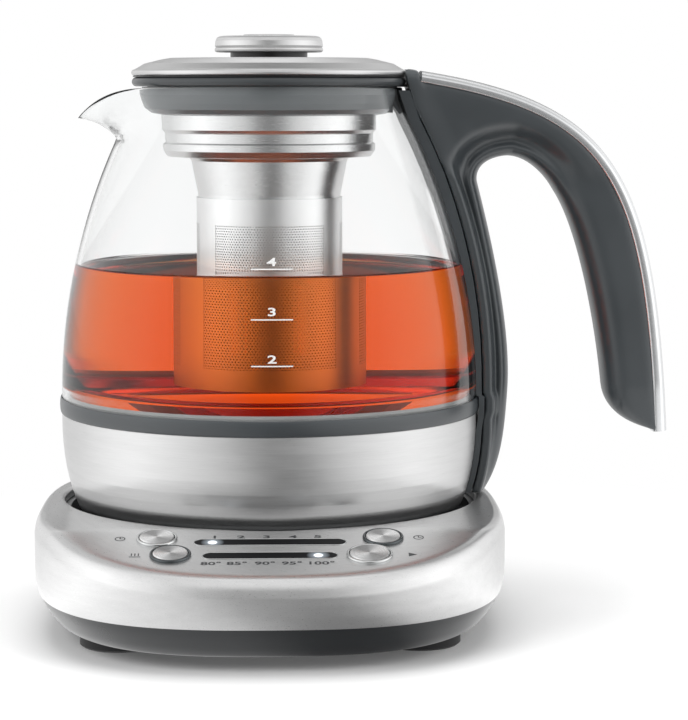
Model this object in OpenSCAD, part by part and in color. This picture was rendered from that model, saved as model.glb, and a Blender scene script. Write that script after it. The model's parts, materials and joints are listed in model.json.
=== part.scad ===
// Automatic tea maker: a glass jug with a lift-out tea basket, standing on a
// powered base with a sloping control panel.
// All modules are drawn about the vertical axis of the jug, with the table at z = 0;
// placed() then moves that axis so that the origin lies under the middle of the whole object.
// +X is the handle side, -X the spout side, -Y the front with the control panel.

/* [Base] */
// Width of the base
base_w = 176; // [160:1:200]
// Depth of the base
base_d = 208; // [200:1:230]
// Squareness of the base's outline, 2 is an ellipse
base_square = 2.7; // [2.4:0.1:3.4]
// How far the base's middle lies in front of the jug's axis
base_forward = 20; // [16:1:24]
// Height of the seam between the steel shell and the plastic housing
seam_z = 17; // [14:0.5:20]
// Height of the base's top at the rim of the well
rim_z = 43.5; // [40:0.5:47]
// Radius of the well's rim
rim_r = 79.4; // [74:0.1:86]
// Thickness of the steel shell
shell_wall = 1.2; // [0.8:0.1:1.6]
// Slope of the control panel in degrees
panel_slope = 12; // [8:0.5:15]
// Height of the rubber feet
foot_h = 5; // [4:0.5:7]
// Radius of the rubber feet
foot_r = 15; // [10:0.5:17]
// Thickness of the housing's floor
floor_wall = 2.2; // [1.6:0.1:3]
// Height of the well's floor
well_z = 28; // [26:0.5:30]

/* [Controls] */
// Radius of the round buttons
button_r = 6.15; // [5:0.05:6.6]
// Radius of the start button
start_r = 7; // [6:0.05:7.2]
// Width of the ring around a button
bezel_w = 0.85; // [0.5:0.05:1.1]
// Travel of a button
button_travel = 0.8; // [0.4:0.1:1.2]
// How far a button stands proud of the panel
button_proud = 1.1; // [0.9:0.1:2]
// Radius of a button's stem
stem_r = 2.4; // [1.8:0.1:3]
// Distance of the upper buttons from the middle
upper_button_x = 40; // [38:0.5:44]
// Distance of the lower buttons from the middle
lower_button_x = 34.7; // [34:0.5:38]
// Length of the upper light window
time_window_l = 53.6; // [40:0.2:56]
// Length of the lower light window
temp_window_l = 47; // [40:0.2:50]
// Width of the light windows
window_w = 5.6; // [3:0.1:7]

/* [Jug] */
// Outer radius of the glass at its mouth
mouth_r = 50.9; // [50.5:0.1:52]
// Height of the glass's mouth
mouth_z = 200.4; // [196:0.2:206]
// Largest outer radius of the glass
belly_r = 80.1; // [76:0.1:84]
// Height of the glass's lower edge
glass_z = 80; // [78:0.5:84]
// Thickness of the glass
glass_wall = 2; // [1.4:0.1:2.2]
// Reach of the spout beyond the mouth
spout_reach = 22.5; // [12:0.5:26]
// Drop of the spout's tip below the mouth
spout_drop = 11.7; // [6:0.1:14]
// Height of the jug's bottom edge
jug_z = 33.2; // [32:0.2:36]
// Thickness of the steel band
band_wall = 1; // [0.6:0.1:1.4]
// Thickness of the dark ring between glass and steel
trim_w = 0.9; // [0.6:0.05:1.2]
// Radius of the heating element's loop
element_r = 50; // [40:1:58]
// Radius of the heating element's tube
element_tube_r = 4.2; // [3:0.1:5]

/* [Handle] */
// How far the handle reaches from the jug's axis
handle_reach = 153.9; // [140:0.5:170]
// Height of the grip's free end
grip_end_z = 69; // [60:0.5:85]
// Half width of the handle where it meets the jug
strut_hw = 15.5; // [12:0.5:17]
// Half width of the grip
grip_hw = 13.2; // [10:0.2:15]
// Thickness of the steel trim at the top of the handle
trim_t = 2.8; // [2:0.1:3.6]
// Thickness of the seat between jug and handle
spine_t = 2.3; // [1.8:0.1:3]

/* [Basket and lid] */
// Radius of the perforated sleeve
sleeve_r = 28; // [24:0.5:30]
// Thickness of the sleeve
sleeve_wall = 0.55; // [0.4:0.05:1]
// Radius of the holes in the sleeve
hole_r = 1.2; // [0.8:0.05:1.5]
// Distance between the holes of a row
hole_pitch = 4.8; // [4:0.1:8]
// Height of the basket's bottom
basket_z = 87.4; // [84.5:0.2:100]
// Thickness of the funnel above the sleeve
funnel_wall = 0.8; // [0.5:0.05:1.2]
// Radius of the ring that carries the basket
ring_r = 52.3; // [51.8:0.1:52.6]
// Height of that ring
ring_h = 3.5; // [2.5:0.1:4.5]
// Radius of the lid
lid_r = 52.5; // [50:0.1:52.6]
// Height of the steel lid
lid_h = 6.9; // [5.5:0.1:9]
// Radius of the knob
knob_r = 20.7; // [16:0.1:26]
// Thickness of the knob's cap
knob_h = 6.1; // [4:0.1:9]

/* [Hidden] */

$fn = 96;
fit = 0.1;          // between faces of one assembly
clear = 0.3;        // between pieces that come apart or move
eps = 0.01;

// The origin lies under the middle of the box around the whole object
collar_w = 4.6;     // least width of the base's top around the well's rim
front_y = -base_d / 2 - base_forward;
rear_y = max(base_d / 2 - base_forward, rim_r + collar_w);
axis_x = -(handle_reach - max(base_w / 2, rim_r + collar_w)) / 2;
axis_y = -(front_y + rear_y) / 2;
module placed() translate([axis_x, axis_y, 0]) children();

// ---------- curves and skins ----------
function bez(p, t) = pow(1 - t, 3) * p[0] + 3 * pow(1 - t, 2) * t * p[1]
  + 3 * (1 - t) * t * t * p[2] + pow(t, 3) * p[3];
function bez_path(p, n, from = 0) = [for (i = [from:n]) bez(p, i / n)];
function unit(v) = v / norm(v);
function clamp01(v) = min(1, max(0, v));
function mix(a, b, t) = a + (b - a) * t;
function power(v, e) = sign(v) * pow(abs(v), e);
// The left normal of a path at point i
function path_normal(p, i) =
  let (d = unit(p[min(i + 1, len(p) - 1)] - p[max(i - 1, 0)])) [-d.y, d.x];
// A path moved sideways by d, to its left where d is positive
function shifted(p, d) = [for (i = [0:len(p) - 1]) p[i] + d * path_normal(p, i)];
function reversed(p) = [for (i = [len(p) - 1:-1:0]) p[i]];
function skin_faces(rings, n, closed) = [
  for (k = [0:rings - (closed ? 1 : 2)], i = [0:n - 1])
    let (a = k * n, b = ((k + 1) % rings) * n, j = (i + 1) % n)
      each [[a + i, b + j, a + j], [a + i, b + i, b + j]]];
// A solid skinned over rings of points, with flat ends
module loft(rings) {
  n = len(rings[0]);
  last = (len(rings) - 1) * n;
  polyhedron([for (r = rings) each r], [
    [for (i = [0:n - 1]) i],
    each skin_faces(len(rings), n, false),
    [for (i = [n - 1:-1:0]) last + i]]);
}
// A solid whose last ring joins its first, such as a shell around an opening
module ring_loft(rings) {
  n = len(rings[0]);
  polyhedron([for (r = rings) each r], skin_faces(len(rings), n, true));
}
// A turned shell of the given thickness whose outside is the path
module turned_shell(path, wall) {
  rotate_extrude() polygon(concat(path, reversed(shifted(path, wall))));
}
module tube(r, wall, h) {
  difference() {
    cylinder(r = r, h = h);
    translate([0, 0, -1]) cylinder(r = r - wall, h = h + 2);
  }
}

// ---------- base: outline, top surface and panel ----------
plan_angles = [for (i = [0:71]) i * 5];
// The outline is rounded square and gives way to a collar around the well where that reaches out further
function square_point(a, inset) = [
  (base_w / 2 - inset) * power(cos(a), 2 / base_square),
  (base_d / 2 - inset) * power(sin(a), 2 / base_square) - base_forward];
function plan_point(a, inset) = let (p = square_point(a, inset))
  p * max(1, (rim_r + collar_w - inset) / norm(p));
panel_blend = 4;                       // length of the bend from level to sloped
function past_bend(y) = -y - rim_r + panel_blend / 2;
function bend_drop(u) = u <= 0 ? 0 : u < panel_blend ? u * u / (2 * panel_blend) : u - panel_blend / 2;
function top_z(y) = rim_z - tan(panel_slope) * bend_drop(past_bend(y));
bulge_z = seam_z + 8;
crease_inset = 3;
land_inset = collar_w - 1.2;           // where the top surface starts inside the crease
function wall_ring(inset, z) = [for (a = plan_angles) let (p = plan_point(a, inset)) [p.x, p.y, z]];
// A ring that keeps a depth below the top surface
function edge_ring(inset, depth) =
  [for (a = plan_angles) let (p = plan_point(a, inset)) [p.x, p.y, top_z(p.y) - depth]];
function rim_ring(r, depth) =
  [for (a = plan_angles) let (y = r * sin(a)) [r * cos(a), y, top_z(y) - depth]];
// A ring on the top surface, part of the way from the land to the rim
function top_ring(t, depth) = [for (a = plan_angles)
  let (p = mix(plan_point(a, land_inset), (rim_r + 1) * [cos(a), sin(a)], t))
    [p.x, p.y, top_z(p.y) - depth]];
roll_h = 3.5;                          // height of the rim's turned-down edge

// Height of the sloped panel's surface, and its own frame: z is square to the panel
function panel_z(y) = rim_z - tan(panel_slope) * (-y - rim_r);
module on_panel(x, y) translate([x, y, panel_z(y)]) rotate([panel_slope, 0, 0]) children();
bezel_gap = 0.15;                      // between a button and its ring
bezel_room = bezel_gap + bezel_w;
upper_button_y = -rim_r - button_r - bezel_room - 0.85;
lower_button_y = upper_button_y - 2 * button_r - 1.9;
start_button_y = upper_button_y - button_r - start_r - 1.85;
time_window_y = upper_button_y - 3.4;
temp_window_y = time_window_y - window_w - 6.2;
carrier_y = upper_button_y - 8.6;      // middle of the carrier and the control board
// [x, y, radius] of the time, timer, warm and start buttons
buttons = [[-upper_button_x, upper_button_y, button_r], [upper_button_x, upper_button_y, button_r],
  [-lower_button_x, lower_button_y, button_r], [lower_button_x, start_button_y, start_r]];
function bezel_r(b) = b[2] + bezel_room;
carrier_depth = shell_wall + 4 * fit;  // top of the panel carrier below the panel
carrier_h = 3;
pocket_depth = 1.4 + button_travel + clear;  // of the room for a button's flange
guide_h = 5;                           // length of a stem's guide below the carrier
board_depth = 14;                      // top of the control board below the panel
board_h = 1.6;
led_pitch = 9.2;                       // between the lights behind a window
switch_h = 3.2;
stem_end = board_depth - switch_h - button_travel - 0.15;

module window_shape(l, w) hull() for (s = [-1, 1]) translate([s * (l - w) / 2, 0]) circle(d = w, $fn = 32);

// ---------- jug: outlines ----------
neck = [mouth_r + 3.1, mouth_z - 10.6];
neck_curve = [[mouth_r, mouth_z], [mouth_r, mouth_z - 4], neck + [-1.9, 3.8], neck];
flank_curve = [neck, neck + [17.5, -34.4], [belly_r + 0.6, glass_z + 38], [belly_r, glass_z]];
glass_path = concat(bez_path(neck_curve, 4), bez_path(flank_curve, 10, 1));
glass_inner = shifted(glass_path, -glass_wall);
band_top_z = glass_z - 3.5;
band_r = belly_r + 0.1;
// The steel band runs straight down, draws in and rounds under
foot_edge = rim_r - 5.3;                // radius of the band where it enters the well
band_turn = [foot_edge, jug_z + 7.1];
band_path = concat(
  bez_path([[band_r, band_top_z], [band_r + 0.3, band_top_z - 16.5], band_turn + [3.8, 8.7], band_turn], 8),
  bez_path([band_turn, band_turn - [1.5, 3.7], [foot_edge - 4.6, jug_z], [foot_edge - 9.6, jug_z]], 5, 1),
  [[foot_edge - 13.6, jug_z]]);
seat_r = foot_edge - 12.1;               // the jug stands on the well's ring of this radius
// Outer radius of the jug, as [z, r] from the bottom up
jug_outline = concat(reversed([for (p = band_path) [p.y, p.x]]),
  reversed([for (p = glass_path) [p.y, p.x]]));
function jug_radius(z) = lookup(z, jug_outline);

// ---------- power base ----------
module base_shell() color("silver") placed() difference() {
  ring_loft([
    wall_ring(1.2, seam_z), wall_ring(0.35, mix(seam_z, bulge_z, 0.5)), wall_ring(0, bulge_z),
    edge_ring(0.5, 3.4), edge_ring(1.4, 1.4), edge_ring(crease_inset, 0.3),
    top_ring(0, 0), top_ring(0.25, 0), top_ring(0.5, 0), top_ring(0.7, 0), top_ring(0.85, 0),
    rim_ring(rim_r + 1, 0), rim_ring(rim_r, 0.7), rim_ring(rim_r, roll_h),
    rim_ring(rim_r + shell_wall * 0.8, roll_h), rim_ring(rim_r + 1, shell_wall + 0.2),
    top_ring(0.6, shell_wall), top_ring(0, shell_wall),
    edge_ring(crease_inset + shell_wall * 0.7, shell_wall + 0.5), edge_ring(0.6 + shell_wall, 3.8),
    wall_ring(shell_wall, bulge_z), wall_ring(1.2 + shell_wall, seam_z)]);
  for (b = buttons) on_panel(b.x, b.y) translate([0, 0, -4])
    cylinder(r = b[2] + bezel_gap + 0.25, h = 8, $fn = 48);
  on_panel(0, time_window_y) translate([0, 0, -4]) linear_extrude(8) window_shape(time_window_l, window_w);
  on_panel(0, temp_window_y) translate([0, 0, -4]) linear_extrude(8) window_shape(temp_window_l, window_w);
}

chassis_inset = 12;                    // of the underside's edge from the outline
floor_z = foot_h + floor_wall;
lip_h = 3;
post_xy = 42;                          // posts that carry the well, both ways from the axis
screw_r = 1.5;
// The housing's side as [height, inset from the outline]
chassis_side = [[foot_h, chassis_inset], [foot_h + 0.6, chassis_inset - 2.6],
  [mix(foot_h, seam_z, 0.38), 5.4], [mix(foot_h, seam_z, 0.7), 2.6], [seam_z - 0.2, 1.35]];
gland_z = (floor_z + seam_z) / 2 - 0.4;  // height of the cord's way out at the rear
gland_r = 4.4;
gland_l = 11;
gland_y = rear_y - lookup(gland_z, chassis_side) + 1;
cord_r = 3.4;
module base_chassis() color("dimgray") placed() difference() {
  loft([
    for (s = chassis_side) wall_ring(s[1], s[0]), wall_ring(shell_wall + 1.5, seam_z - 0.2),
    wall_ring(shell_wall + 1.5, seam_z + lip_h), wall_ring(shell_wall + 3.3, seam_z + lip_h),
    wall_ring(shell_wall + 3.6, seam_z - 1), wall_ring(7.6, mix(floor_z, seam_z, 0.35)),
    wall_ring(chassis_inset, floor_z)]);
  for (x = [-1, 1], y = [-1, 1]) translate([x * post_xy, y * post_xy, 0]) {
    cylinder(r = screw_r + 0.2, h = 20, $fn = 32);
    cylinder(r = 3.4, h = foot_h + 1.2, $fn = 32);
  }
  translate([0, gland_y + 2, gland_z]) rotate([90, 0, 0]) cylinder(r = gland_r + 0.05, h = 16, $fn = 48);
}

well_hole_r = 20.4;
well_wall = 2;
module base_well() color("gray") placed() difference() {
  union() {
    rotate_extrude() polygon([
      [rim_r + 1.4, rim_z - roll_h - 0.4], [rim_r + 1.4, rim_z - roll_h - 2.4],
      [rim_r - 0.3, rim_z - roll_h - 2.4], [rim_r - 0.6, well_z + 2], [rim_r - 3.6, well_z - well_wall],
      [well_hole_r, well_z - well_wall], [well_hole_r, well_z],
      [seat_r - 2, well_z], [seat_r - 1.4, jug_z - clear], [seat_r + 1.4, jug_z - clear],
      [seat_r + 2, well_z],
      [rim_r - 5.6, well_z], [rim_r - 2.7, well_z + 3], [rim_r - 2.2, rim_z - roll_h - 0.4]]);
    for (x = [-1, 1], y = [-1, 1]) translate([x * post_xy, y * post_xy, floor_z])
      cylinder(r = 4, h = well_z - well_wall - floor_z + 0.5, $fn = 32);
  }
  for (x = [-1, 1], y = [-1, 1]) translate([x * post_xy, y * post_xy, floor_z - 1])
    cylinder(r = screw_r + 0.05, h = 13, $fn = 32);
}

module base_screws() color("silver") placed() for (x = [-1, 1], y = [-1, 1])
  translate([x * post_xy, y * post_xy, foot_h + 0.2]) {
    difference() {
      cylinder(r = 3, h = 1, $fn = 32);
      translate([0, 0, -1]) cylinder(r = 1.3, h = 1.6, $fn = 6);
    }
    translate([0, 0, 0.9]) cylinder(r = screw_r, h = 10, $fn = 32);
  }

foot_in = [34, 54];                    // of the feet from the base's sides and ends
foot_x = base_w / 2 - foot_in.x;
foot_y = base_d / 2 - foot_in.y;
module rubber_feet() color("black") placed() translate([0, -base_forward, 0])
  for (x = [-1, 1], y = [-1, 1]) translate([x * foot_x, y * foot_y, 0])
    rotate_extrude() polygon([[foot_r - 5, 0], [foot_r - 1, 0], [foot_r, 0.8], [foot_r, foot_h - 0.6],
      [foot_r - 0.6, foot_h], [0, foot_h], [0, foot_h - 2.5], [foot_r - 6, foot_h - 2.5]]);

module cord_gland() color("black") placed() translate([0, gland_y, gland_z]) rotate([90, 0, 0])
  difference() {
    cylinder(r = gland_r, h = gland_l, $fn = 48);
    translate([0, 0, -1]) cylinder(r = cord_r, h = gland_l + 2, $fn = 48);
  }

// The cordless coupling: a boss with a ring groove and a central socket
boss_r = 15.5;
boss_z = well_z + 9.5;
groove_z = well_z + 2;
module base_connector() color("black") placed() rotate_extrude() polygon([
  [0, well_z - 5], [24, well_z - 5], [24, well_z - well_wall - fit],
  [well_hole_r - fit, well_z - well_wall - fit],
  [well_hole_r - fit, well_z + 0.4], [boss_r, well_z + 1.4], [boss_r, boss_z - 1], [boss_r - 1, boss_z],
  [12.6, boss_z], [12.6, groove_z], [8.6, groove_z], [8.6, boss_z], [3.5, boss_z], [3.5, well_z + 0.5],
  [0, well_z + 0.5]]);

module connector_contacts() color("goldenrod") placed() {
  translate([0, 0, groove_z + 0.05]) tube(9.05, 0.4, 6);
  translate([0, 0, well_z + 0.55]) tube(3.4, 0.4, 6);
}

carrier_w = 96;
carrier_l = 20;                         // down the slope
board_l = 24;
module panel_carrier() color("dimgray") placed() difference() {
  union() {
    on_panel(0, carrier_y - 1.2) translate([-carrier_w / 2, -carrier_l / 2, -carrier_depth - carrier_h])
      cube([carrier_w, carrier_l, carrier_h]);
    for (b = buttons) on_panel(b.x, b.y) translate([0, 0, -carrier_depth - carrier_h - guide_h])
      cylinder(r = stem_r + 2, h = guide_h + carrier_h, $fn = 32);
    for (s = [-1, 1]) on_panel(s * (carrier_w / 2 - 3), carrier_y - 4) translate([-2, -2, -board_depth])
      cube([4, 4, board_depth - carrier_depth - 1]);
  }
  for (b = buttons) on_panel(b.x, b.y) {
    translate([0, 0, -20]) cylinder(r = stem_r + 0.1, h = 20, $fn = 48);
    translate([0, 0, -pocket_depth]) cylinder(r = bezel_r(b) - bezel_w + 0.4, h = pocket_depth, $fn = 48);
  }
  for (x = [-2:2]) {
    on_panel(x * led_pitch, time_window_y) translate([0, 0, -20]) cylinder(r = 1.6, h = 20, $fn = 24);
    on_panel(x * led_pitch, temp_window_y) translate([0, 0, -20]) cylinder(r = 1.6, h = 20, $fn = 24);
  }
}

module control_board() color("darkgreen") placed()
  on_panel(0, carrier_y - 0.5) translate([-carrier_w / 2, -board_l / 2, -board_depth - board_h])
    cube([carrier_w, board_l, board_h - fit]);

module tact_switches() color("black") placed() for (b = buttons) on_panel(b.x, b.y) {
  translate([-3, -3, -board_depth]) cube([6, 6, switch_h - 1]);
  translate([0, 0, -board_depth + switch_h - 1.5]) cylinder(r = 1.6, h = 1.5, $fn = 32);
}

module status_leds() color("white") placed() for (y = [time_window_y, temp_window_y], x = [-2:2])
  on_panel(x * led_pitch, y) {
    translate([-1.4, -1, -board_depth]) cube([2.8, 2, 0.8]);
    translate([0, 0, -board_depth + 0.7]) cylinder(r = 1.3, h = board_depth - 2.6, $fn = 24);
  }

module light_window(l) difference() {
  translate([0, 0, -carrier_depth + fit]) linear_extrude(carrier_depth - fit + 0.1)
    window_shape(l - 2 * fit, window_w - 2 * fit);
  for (x = [-2:2]) translate([x * led_pitch, 0, -5]) cylinder(r = 1.5, h = 4.4, $fn = 24);
}
module time_window() color("black") placed() on_panel(0, time_window_y) light_window(time_window_l);
module temperature_window() color("black") placed() on_panel(0, temp_window_y) light_window(temp_window_l);

module button_bezels() color("gainsboro") placed() for (b = buttons) on_panel(b.x, b.y)
  rotate_extrude($fn = 64) polygon([[b[2] + bezel_gap, -1.6], [b[2] + bezel_gap, 0.9],
    [b[2] + bezel_gap + 0.25, 1],
    [bezel_r(b) - 0.2, 0.9], [bezel_r(b), 0.2], [b[2] + bezel_gap + 0.2, 0.2],
    [b[2] + bezel_gap + 0.2, -1.6]]);

// A slightly hollowed disc on a stem that reaches down to its switch
module button_cap(b) on_panel(b.x, b.y) rotate_extrude($fn = 64) polygon([[0, -0.7], [b[2], -0.7],
  [b[2], button_proud - 0.3], [b[2] - 0.3, button_proud], [b[2] * 0.5, button_proud - 0.15],
  [0, button_proud - 0.2]]);
module button_stem(b) on_panel(b.x, b.y) {
  translate([0, 0, -stem_end]) cylinder(r = stem_r, h = stem_end - 1.4, $fn = 48);
  translate([0, 0, -1.4]) cylinder(r = b[2] - 1.6, h = 0.7, $fn = 48);
}
module time_button() color("silver") placed() button_cap(buttons[0]);
module timer_button() color("silver") placed() button_cap(buttons[1]);
module warm_button() color("silver") placed() button_cap(buttons[2]);
module start_button() color("silver") placed() button_cap(buttons[3]);
module time_stem() color("white") placed() button_stem(buttons[0]);
module timer_stem() color("white") placed() button_stem(buttons[1]);
module warm_stem() color("white") placed() button_stem(buttons[2]);
module start_stem() color("white") placed() button_stem(buttons[3]);

board_top = floor_z + 3.6;
power_w = 64;
power_l = 78;
power_y = 9;                           // of the board's middle
module power_board() color("darkgreen") placed() {
  difference() {
    translate([-power_w / 2, power_y - power_l / 2, floor_z + 2]) cube([power_w, power_l, board_h]);
    translate([0, 0, floor_z]) cylinder(r = 5, h = 10, $fn = 32);
  }
  for (x = [-1, 1], y = [-1, 1])
    translate([x * (power_w / 2 - 4), power_y + y * (power_l / 2 - 5), floor_z])
    cylinder(r = 2.5, h = 2.1, $fn = 32);
  // [x, y, radius] of the round components, then the transformer
  for (p = [[-20, 20, 5], [-8, 34, 4], [20, -12, 4]]) translate([p.x, p.y, board_top - 0.1])
    cylinder(r = p.z, h = 9, $fn = 32);
  translate([-26, -18, board_top - 0.1]) cube([18, 14, 10]);
}
module power_relay() color("black") placed() translate([8, 22, board_top]) cube([18, 14, 11]);
module buzzer() color("black") placed() translate([24, 8, board_top]) difference() {
  cylinder(r = 6, h = 7, $fn = 32);
  translate([0, 0, 5]) cylinder(r = 1.2, h = 3, $fn = 24);
}

// ---------- jug side of the coupling ----------
socket_r = 19;
module kettle_socket() color("black") placed() rotate_extrude() polygon([
  [2.6, boss_z + 0.8], [9.6, boss_z + 0.8], [9.6, groove_z + 1.2], [11.9, groove_z + 1.2],
  [11.9, boss_z + 0.8],
  [boss_r + 0.6, boss_z + 0.8], [boss_r + 0.6, jug_z + 0.2], [socket_r, jug_z + 0.2],
  [socket_r, boss_z + 6],
  [2.6, boss_z + 6]]);
module kettle_contacts() color("goldenrod") placed() {
  rotate_extrude() polygon([[0, groove_z], [1.6, groove_z], [2.5, groove_z + 1], [2.5, boss_z + 8],
    [0, boss_z + 8]]);
  for (x = [-1, 1]) translate([x * 10 - 0.4, -3, boss_z + 6 + fit]) cube([0.8, 6, 2]);
}

// ---------- jug ----------
spout_half = 46;                       // half angle that the spout takes of the mouth
tip_soft = 5;                          // rounding of its tip in degrees
spout_low = 19.4;                      // the spout starts this far below the mouth
function beak(x) = x >= spout_half ? 0 : (1 / cos(spout_half - x) - 1) / (1 / cos(spout_half) - 1);
function spout_share(a) = beak(sqrt(pow(a - 180, 2) + tip_soft * tip_soft) - tip_soft);
glass_angles = concat([for (a = [0:6:126]) a], [for (a = [132:3:228]) a], [for (a = [234:6:354]) a]);
// A point of the glass at an angle, drawn outward and down where the spout is
function glass_point(p, a) =
  let (h = clamp01((p.y - mouth_z + spout_low) / spout_low), s = spout_share(a),
    r = p.x + spout_reach * s * h, z = p.y - spout_drop * pow(s, 2.3) * pow(h, 1.4))
    [r * cos(a), r * sin(a), z];
function glass_ring(p) = [for (a = glass_angles) glass_point(p, a)];
module glass_jug() color("lightcyan", 0.4) placed() ring_loft(concat(
  [for (p = reversed(glass_path)) glass_ring(p)],
  [for (p = glass_inner) glass_ring([p.x, min(p.y, mouth_z)])]));

module trim_ring() color("dimgray") placed() rotate_extrude() polygon(concat(
  [[band_r, band_top_z + 0.2], [band_r, glass_z + 2.5]],
  bez_path([[band_r + 0.3, glass_z + 2.5], [band_r + trim_w, glass_z + 2.2],
    [band_r + trim_w, glass_z - 2.8],
    [band_r + 0.3, band_top_z + 0.2]], 8)));

band_hole_z = [band_top_z - 10.5, band_top_z - 22.5];
module steel_band() color("silver") placed() difference() {
  turned_shell(band_path, -band_wall);
  for (z = band_hole_z) translate([band_r - 10, 0, z]) rotate([0, 90, 0])
    cylinder(r = screw_r + 0.6, h = 20, $fn = 32);
}

under_r = seat_r + 4.5;
module jug_underside() color("dimgray") placed() rotate_extrude() polygon([
  [socket_r + clear, jug_z + 0.6], [seat_r - 5, jug_z + 0.6], [seat_r - 4, jug_z + band_wall + fit],
  [under_r - 2, jug_z + band_wall + fit],
  [under_r, jug_z + band_wall + 1.4], [under_r, jug_z + band_wall + 3],
  [socket_r + clear + 2, jug_z + band_wall + 3],
  [socket_r + clear + 2, boss_z + 10.5], [1, boss_z + 10.5], [1, boss_z + 8.5],
  [socket_r + clear, boss_z + 8.5]]);

plate_z = band_top_z + fit;
plate_t = 1.4;
glass_in_r = belly_r - glass_wall;
module heater_plate() color("silver") placed() difference() {
  rotate_extrude() polygon([[0, plate_z], [band_r - fit, plate_z], [band_r - fit, plate_z + plate_t],
    [glass_in_r - 1.6, plate_z + plate_t], [glass_in_r - 1.6, glass_z + 2], [glass_in_r - 2.8, glass_z + 2],
    [glass_in_r - 2.8, plate_z + plate_t + 1], [glass_in_r - 4, plate_z + plate_t],
    [0, plate_z + plate_t]]);
  translate([0, 0, plate_z - 1]) cylinder(r = 3.1, h = 5, $fn = 32);
}
module heater_seal() color("whitesmoke") placed() rotate_extrude() polygon([
  [glass_in_r - 1.5, plate_z + plate_t + 0.05], [band_r - 0.2, plate_z + plate_t + 0.05],
  [band_r - 0.2, glass_z - 0.05],
  [glass_in_r - 0.2, glass_z - 0.05], [glass_in_r - 0.2, glass_z + 3], [glass_in_r - 0.9, glass_z + 4],
  [glass_in_r - 1.5, glass_z + 3]]);
module heating_element() color("dimgray") placed() translate([0, 0, plate_z - element_tube_r - 0.1]) {
  rotate([0, 0, 30]) rotate_extrude(angle = 300) translate([element_r, 0])
    circle(r = element_tube_r, $fn = 32);
  for (a = [38, 322]) rotate([0, 0, a]) translate([element_r, 0, -14]) cylinder(r = 2, h = 12, $fn = 32);
}
module temperature_sensor() color("silver") placed() translate([0, 0, plate_z]) {
  translate([0, 0, -1]) cylinder(r = 3, h = 5, $fn = 32);
  translate([0, 0, -5]) cylinder(r = 6, h = 4.9, $fn = 32);
}
module thermal_cutouts() color("tan") placed() for (x = [-24, 24]) translate([x, 0, plate_z - 6.1]) {
  cylinder(r = 7, h = 6, $fn = 48);
  translate([0, 0, -2]) cylinder(r = 4, h = 2.1, $fn = 32);
}

// ---------- handle ----------
spine_top = mouth_z - 1.2;
spine_foot = jug_z + 12.3;
// The seat thickens towards the neck, where the glass draws in
function seat_t(z) = spine_t + 1.9 * clamp01((z - 90) / 80);
function jug_side(z) = max(jug_radius(z), z < glass_z + 3 && z > band_top_z - 1 ? band_r + trim_w : 0);
function seat_side(z) = jug_side(z) + seat_t(z);
seat_zs = concat([for (i = [0:5]) mix(spine_foot, band_top_z - 0.2, i / 5)], [glass_z + 2.8],
  [for (i = [0:11]) mix(glass_z + 3.4, spine_top, i / 11)]);
module front_block(hw, low, high) translate([0, -hw, low]) cube([handle_reach, 2 * hw, high - low]);
module handle_screw_bores(r, to) for (z = band_hole_z)
  translate([band_r - 10, 0, z]) rotate([0, 90, 0]) cylinder(r = r, h = to + 10, $fn = 32);
module handle_spine() color("darkslategray") placed() difference() {
  intersection() {
    rotate_extrude() polygon(concat([for (z = seat_zs) [seat_side(z), z]],
      [for (z = reversed(seat_zs)) [jug_side(z) + 0.2, z]]));
    front_block(strut_hw, spine_foot, spine_top);
  }
  handle_screw_bores(screw_r + 0.6, 10);
}

// Curves in the plane y = 0. The grip runs from the neck out and down to its free end.
grip_x = handle_reach - 4.4;           // of the grip's back at its free end
root_z = mouth_z + 4.4;
loop_x = band_r + 9.8;                 // where the finger gap is highest
loop_z = mouth_z - 26.1;
bend = [grip_x - 40.2, loop_z - 13.3];
tail = [grip_x - 20.7, grip_end_z + 16.6];
grip_top = [[mouth_r - 0.4, root_z], [grip_x - 19, root_z - 11.4], [grip_x - 5.5, root_z - 35.9],
  [grip_x, grip_end_z - 0.5]];
loop_top = [[loop_x, loop_z], [mix(loop_x, bend.x, 0.41), loop_z + 0.7], bend + [-3.8, 7], bend];
grip_under = [bend, bend + [9.5, -14], tail + [-2.8, 26.4], tail];
grip_end = [tail, tail + [1.2, -9.6], [grip_x - 11.5, grip_end_z + 1.5], [grip_x - 1.7, grip_end_z]];
root_t = 0.25;
bend_t = 0.48;
end_t = 0.94;
function grip_low(t) =
  t < root_t ? mix([mouth_r + 9.1, loop_z - 0.3], loop_top[0], t / root_t)
  : t < bend_t ? bez(loop_top, (t - root_t) / (bend_t - root_t))
  : t < end_t ? bez(grip_under, (t - bend_t) / (end_t - bend_t))
  : bez(grip_end, (t - end_t) / (1 - end_t));
trim_from = 0.03;                      // the trim starts behind a short nose
grip_ts = concat([0, trim_from - 0.004, trim_from], [for (i = [1:15]) i * 0.06],
  [0.92, 0.94, 0.955, 0.97, 0.985, 1]);
function grip_outer(t) = bez(grip_top, t) + (t < trim_from ? [0, trim_t + fit] : [0, 0]);
section_n = 20;
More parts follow.
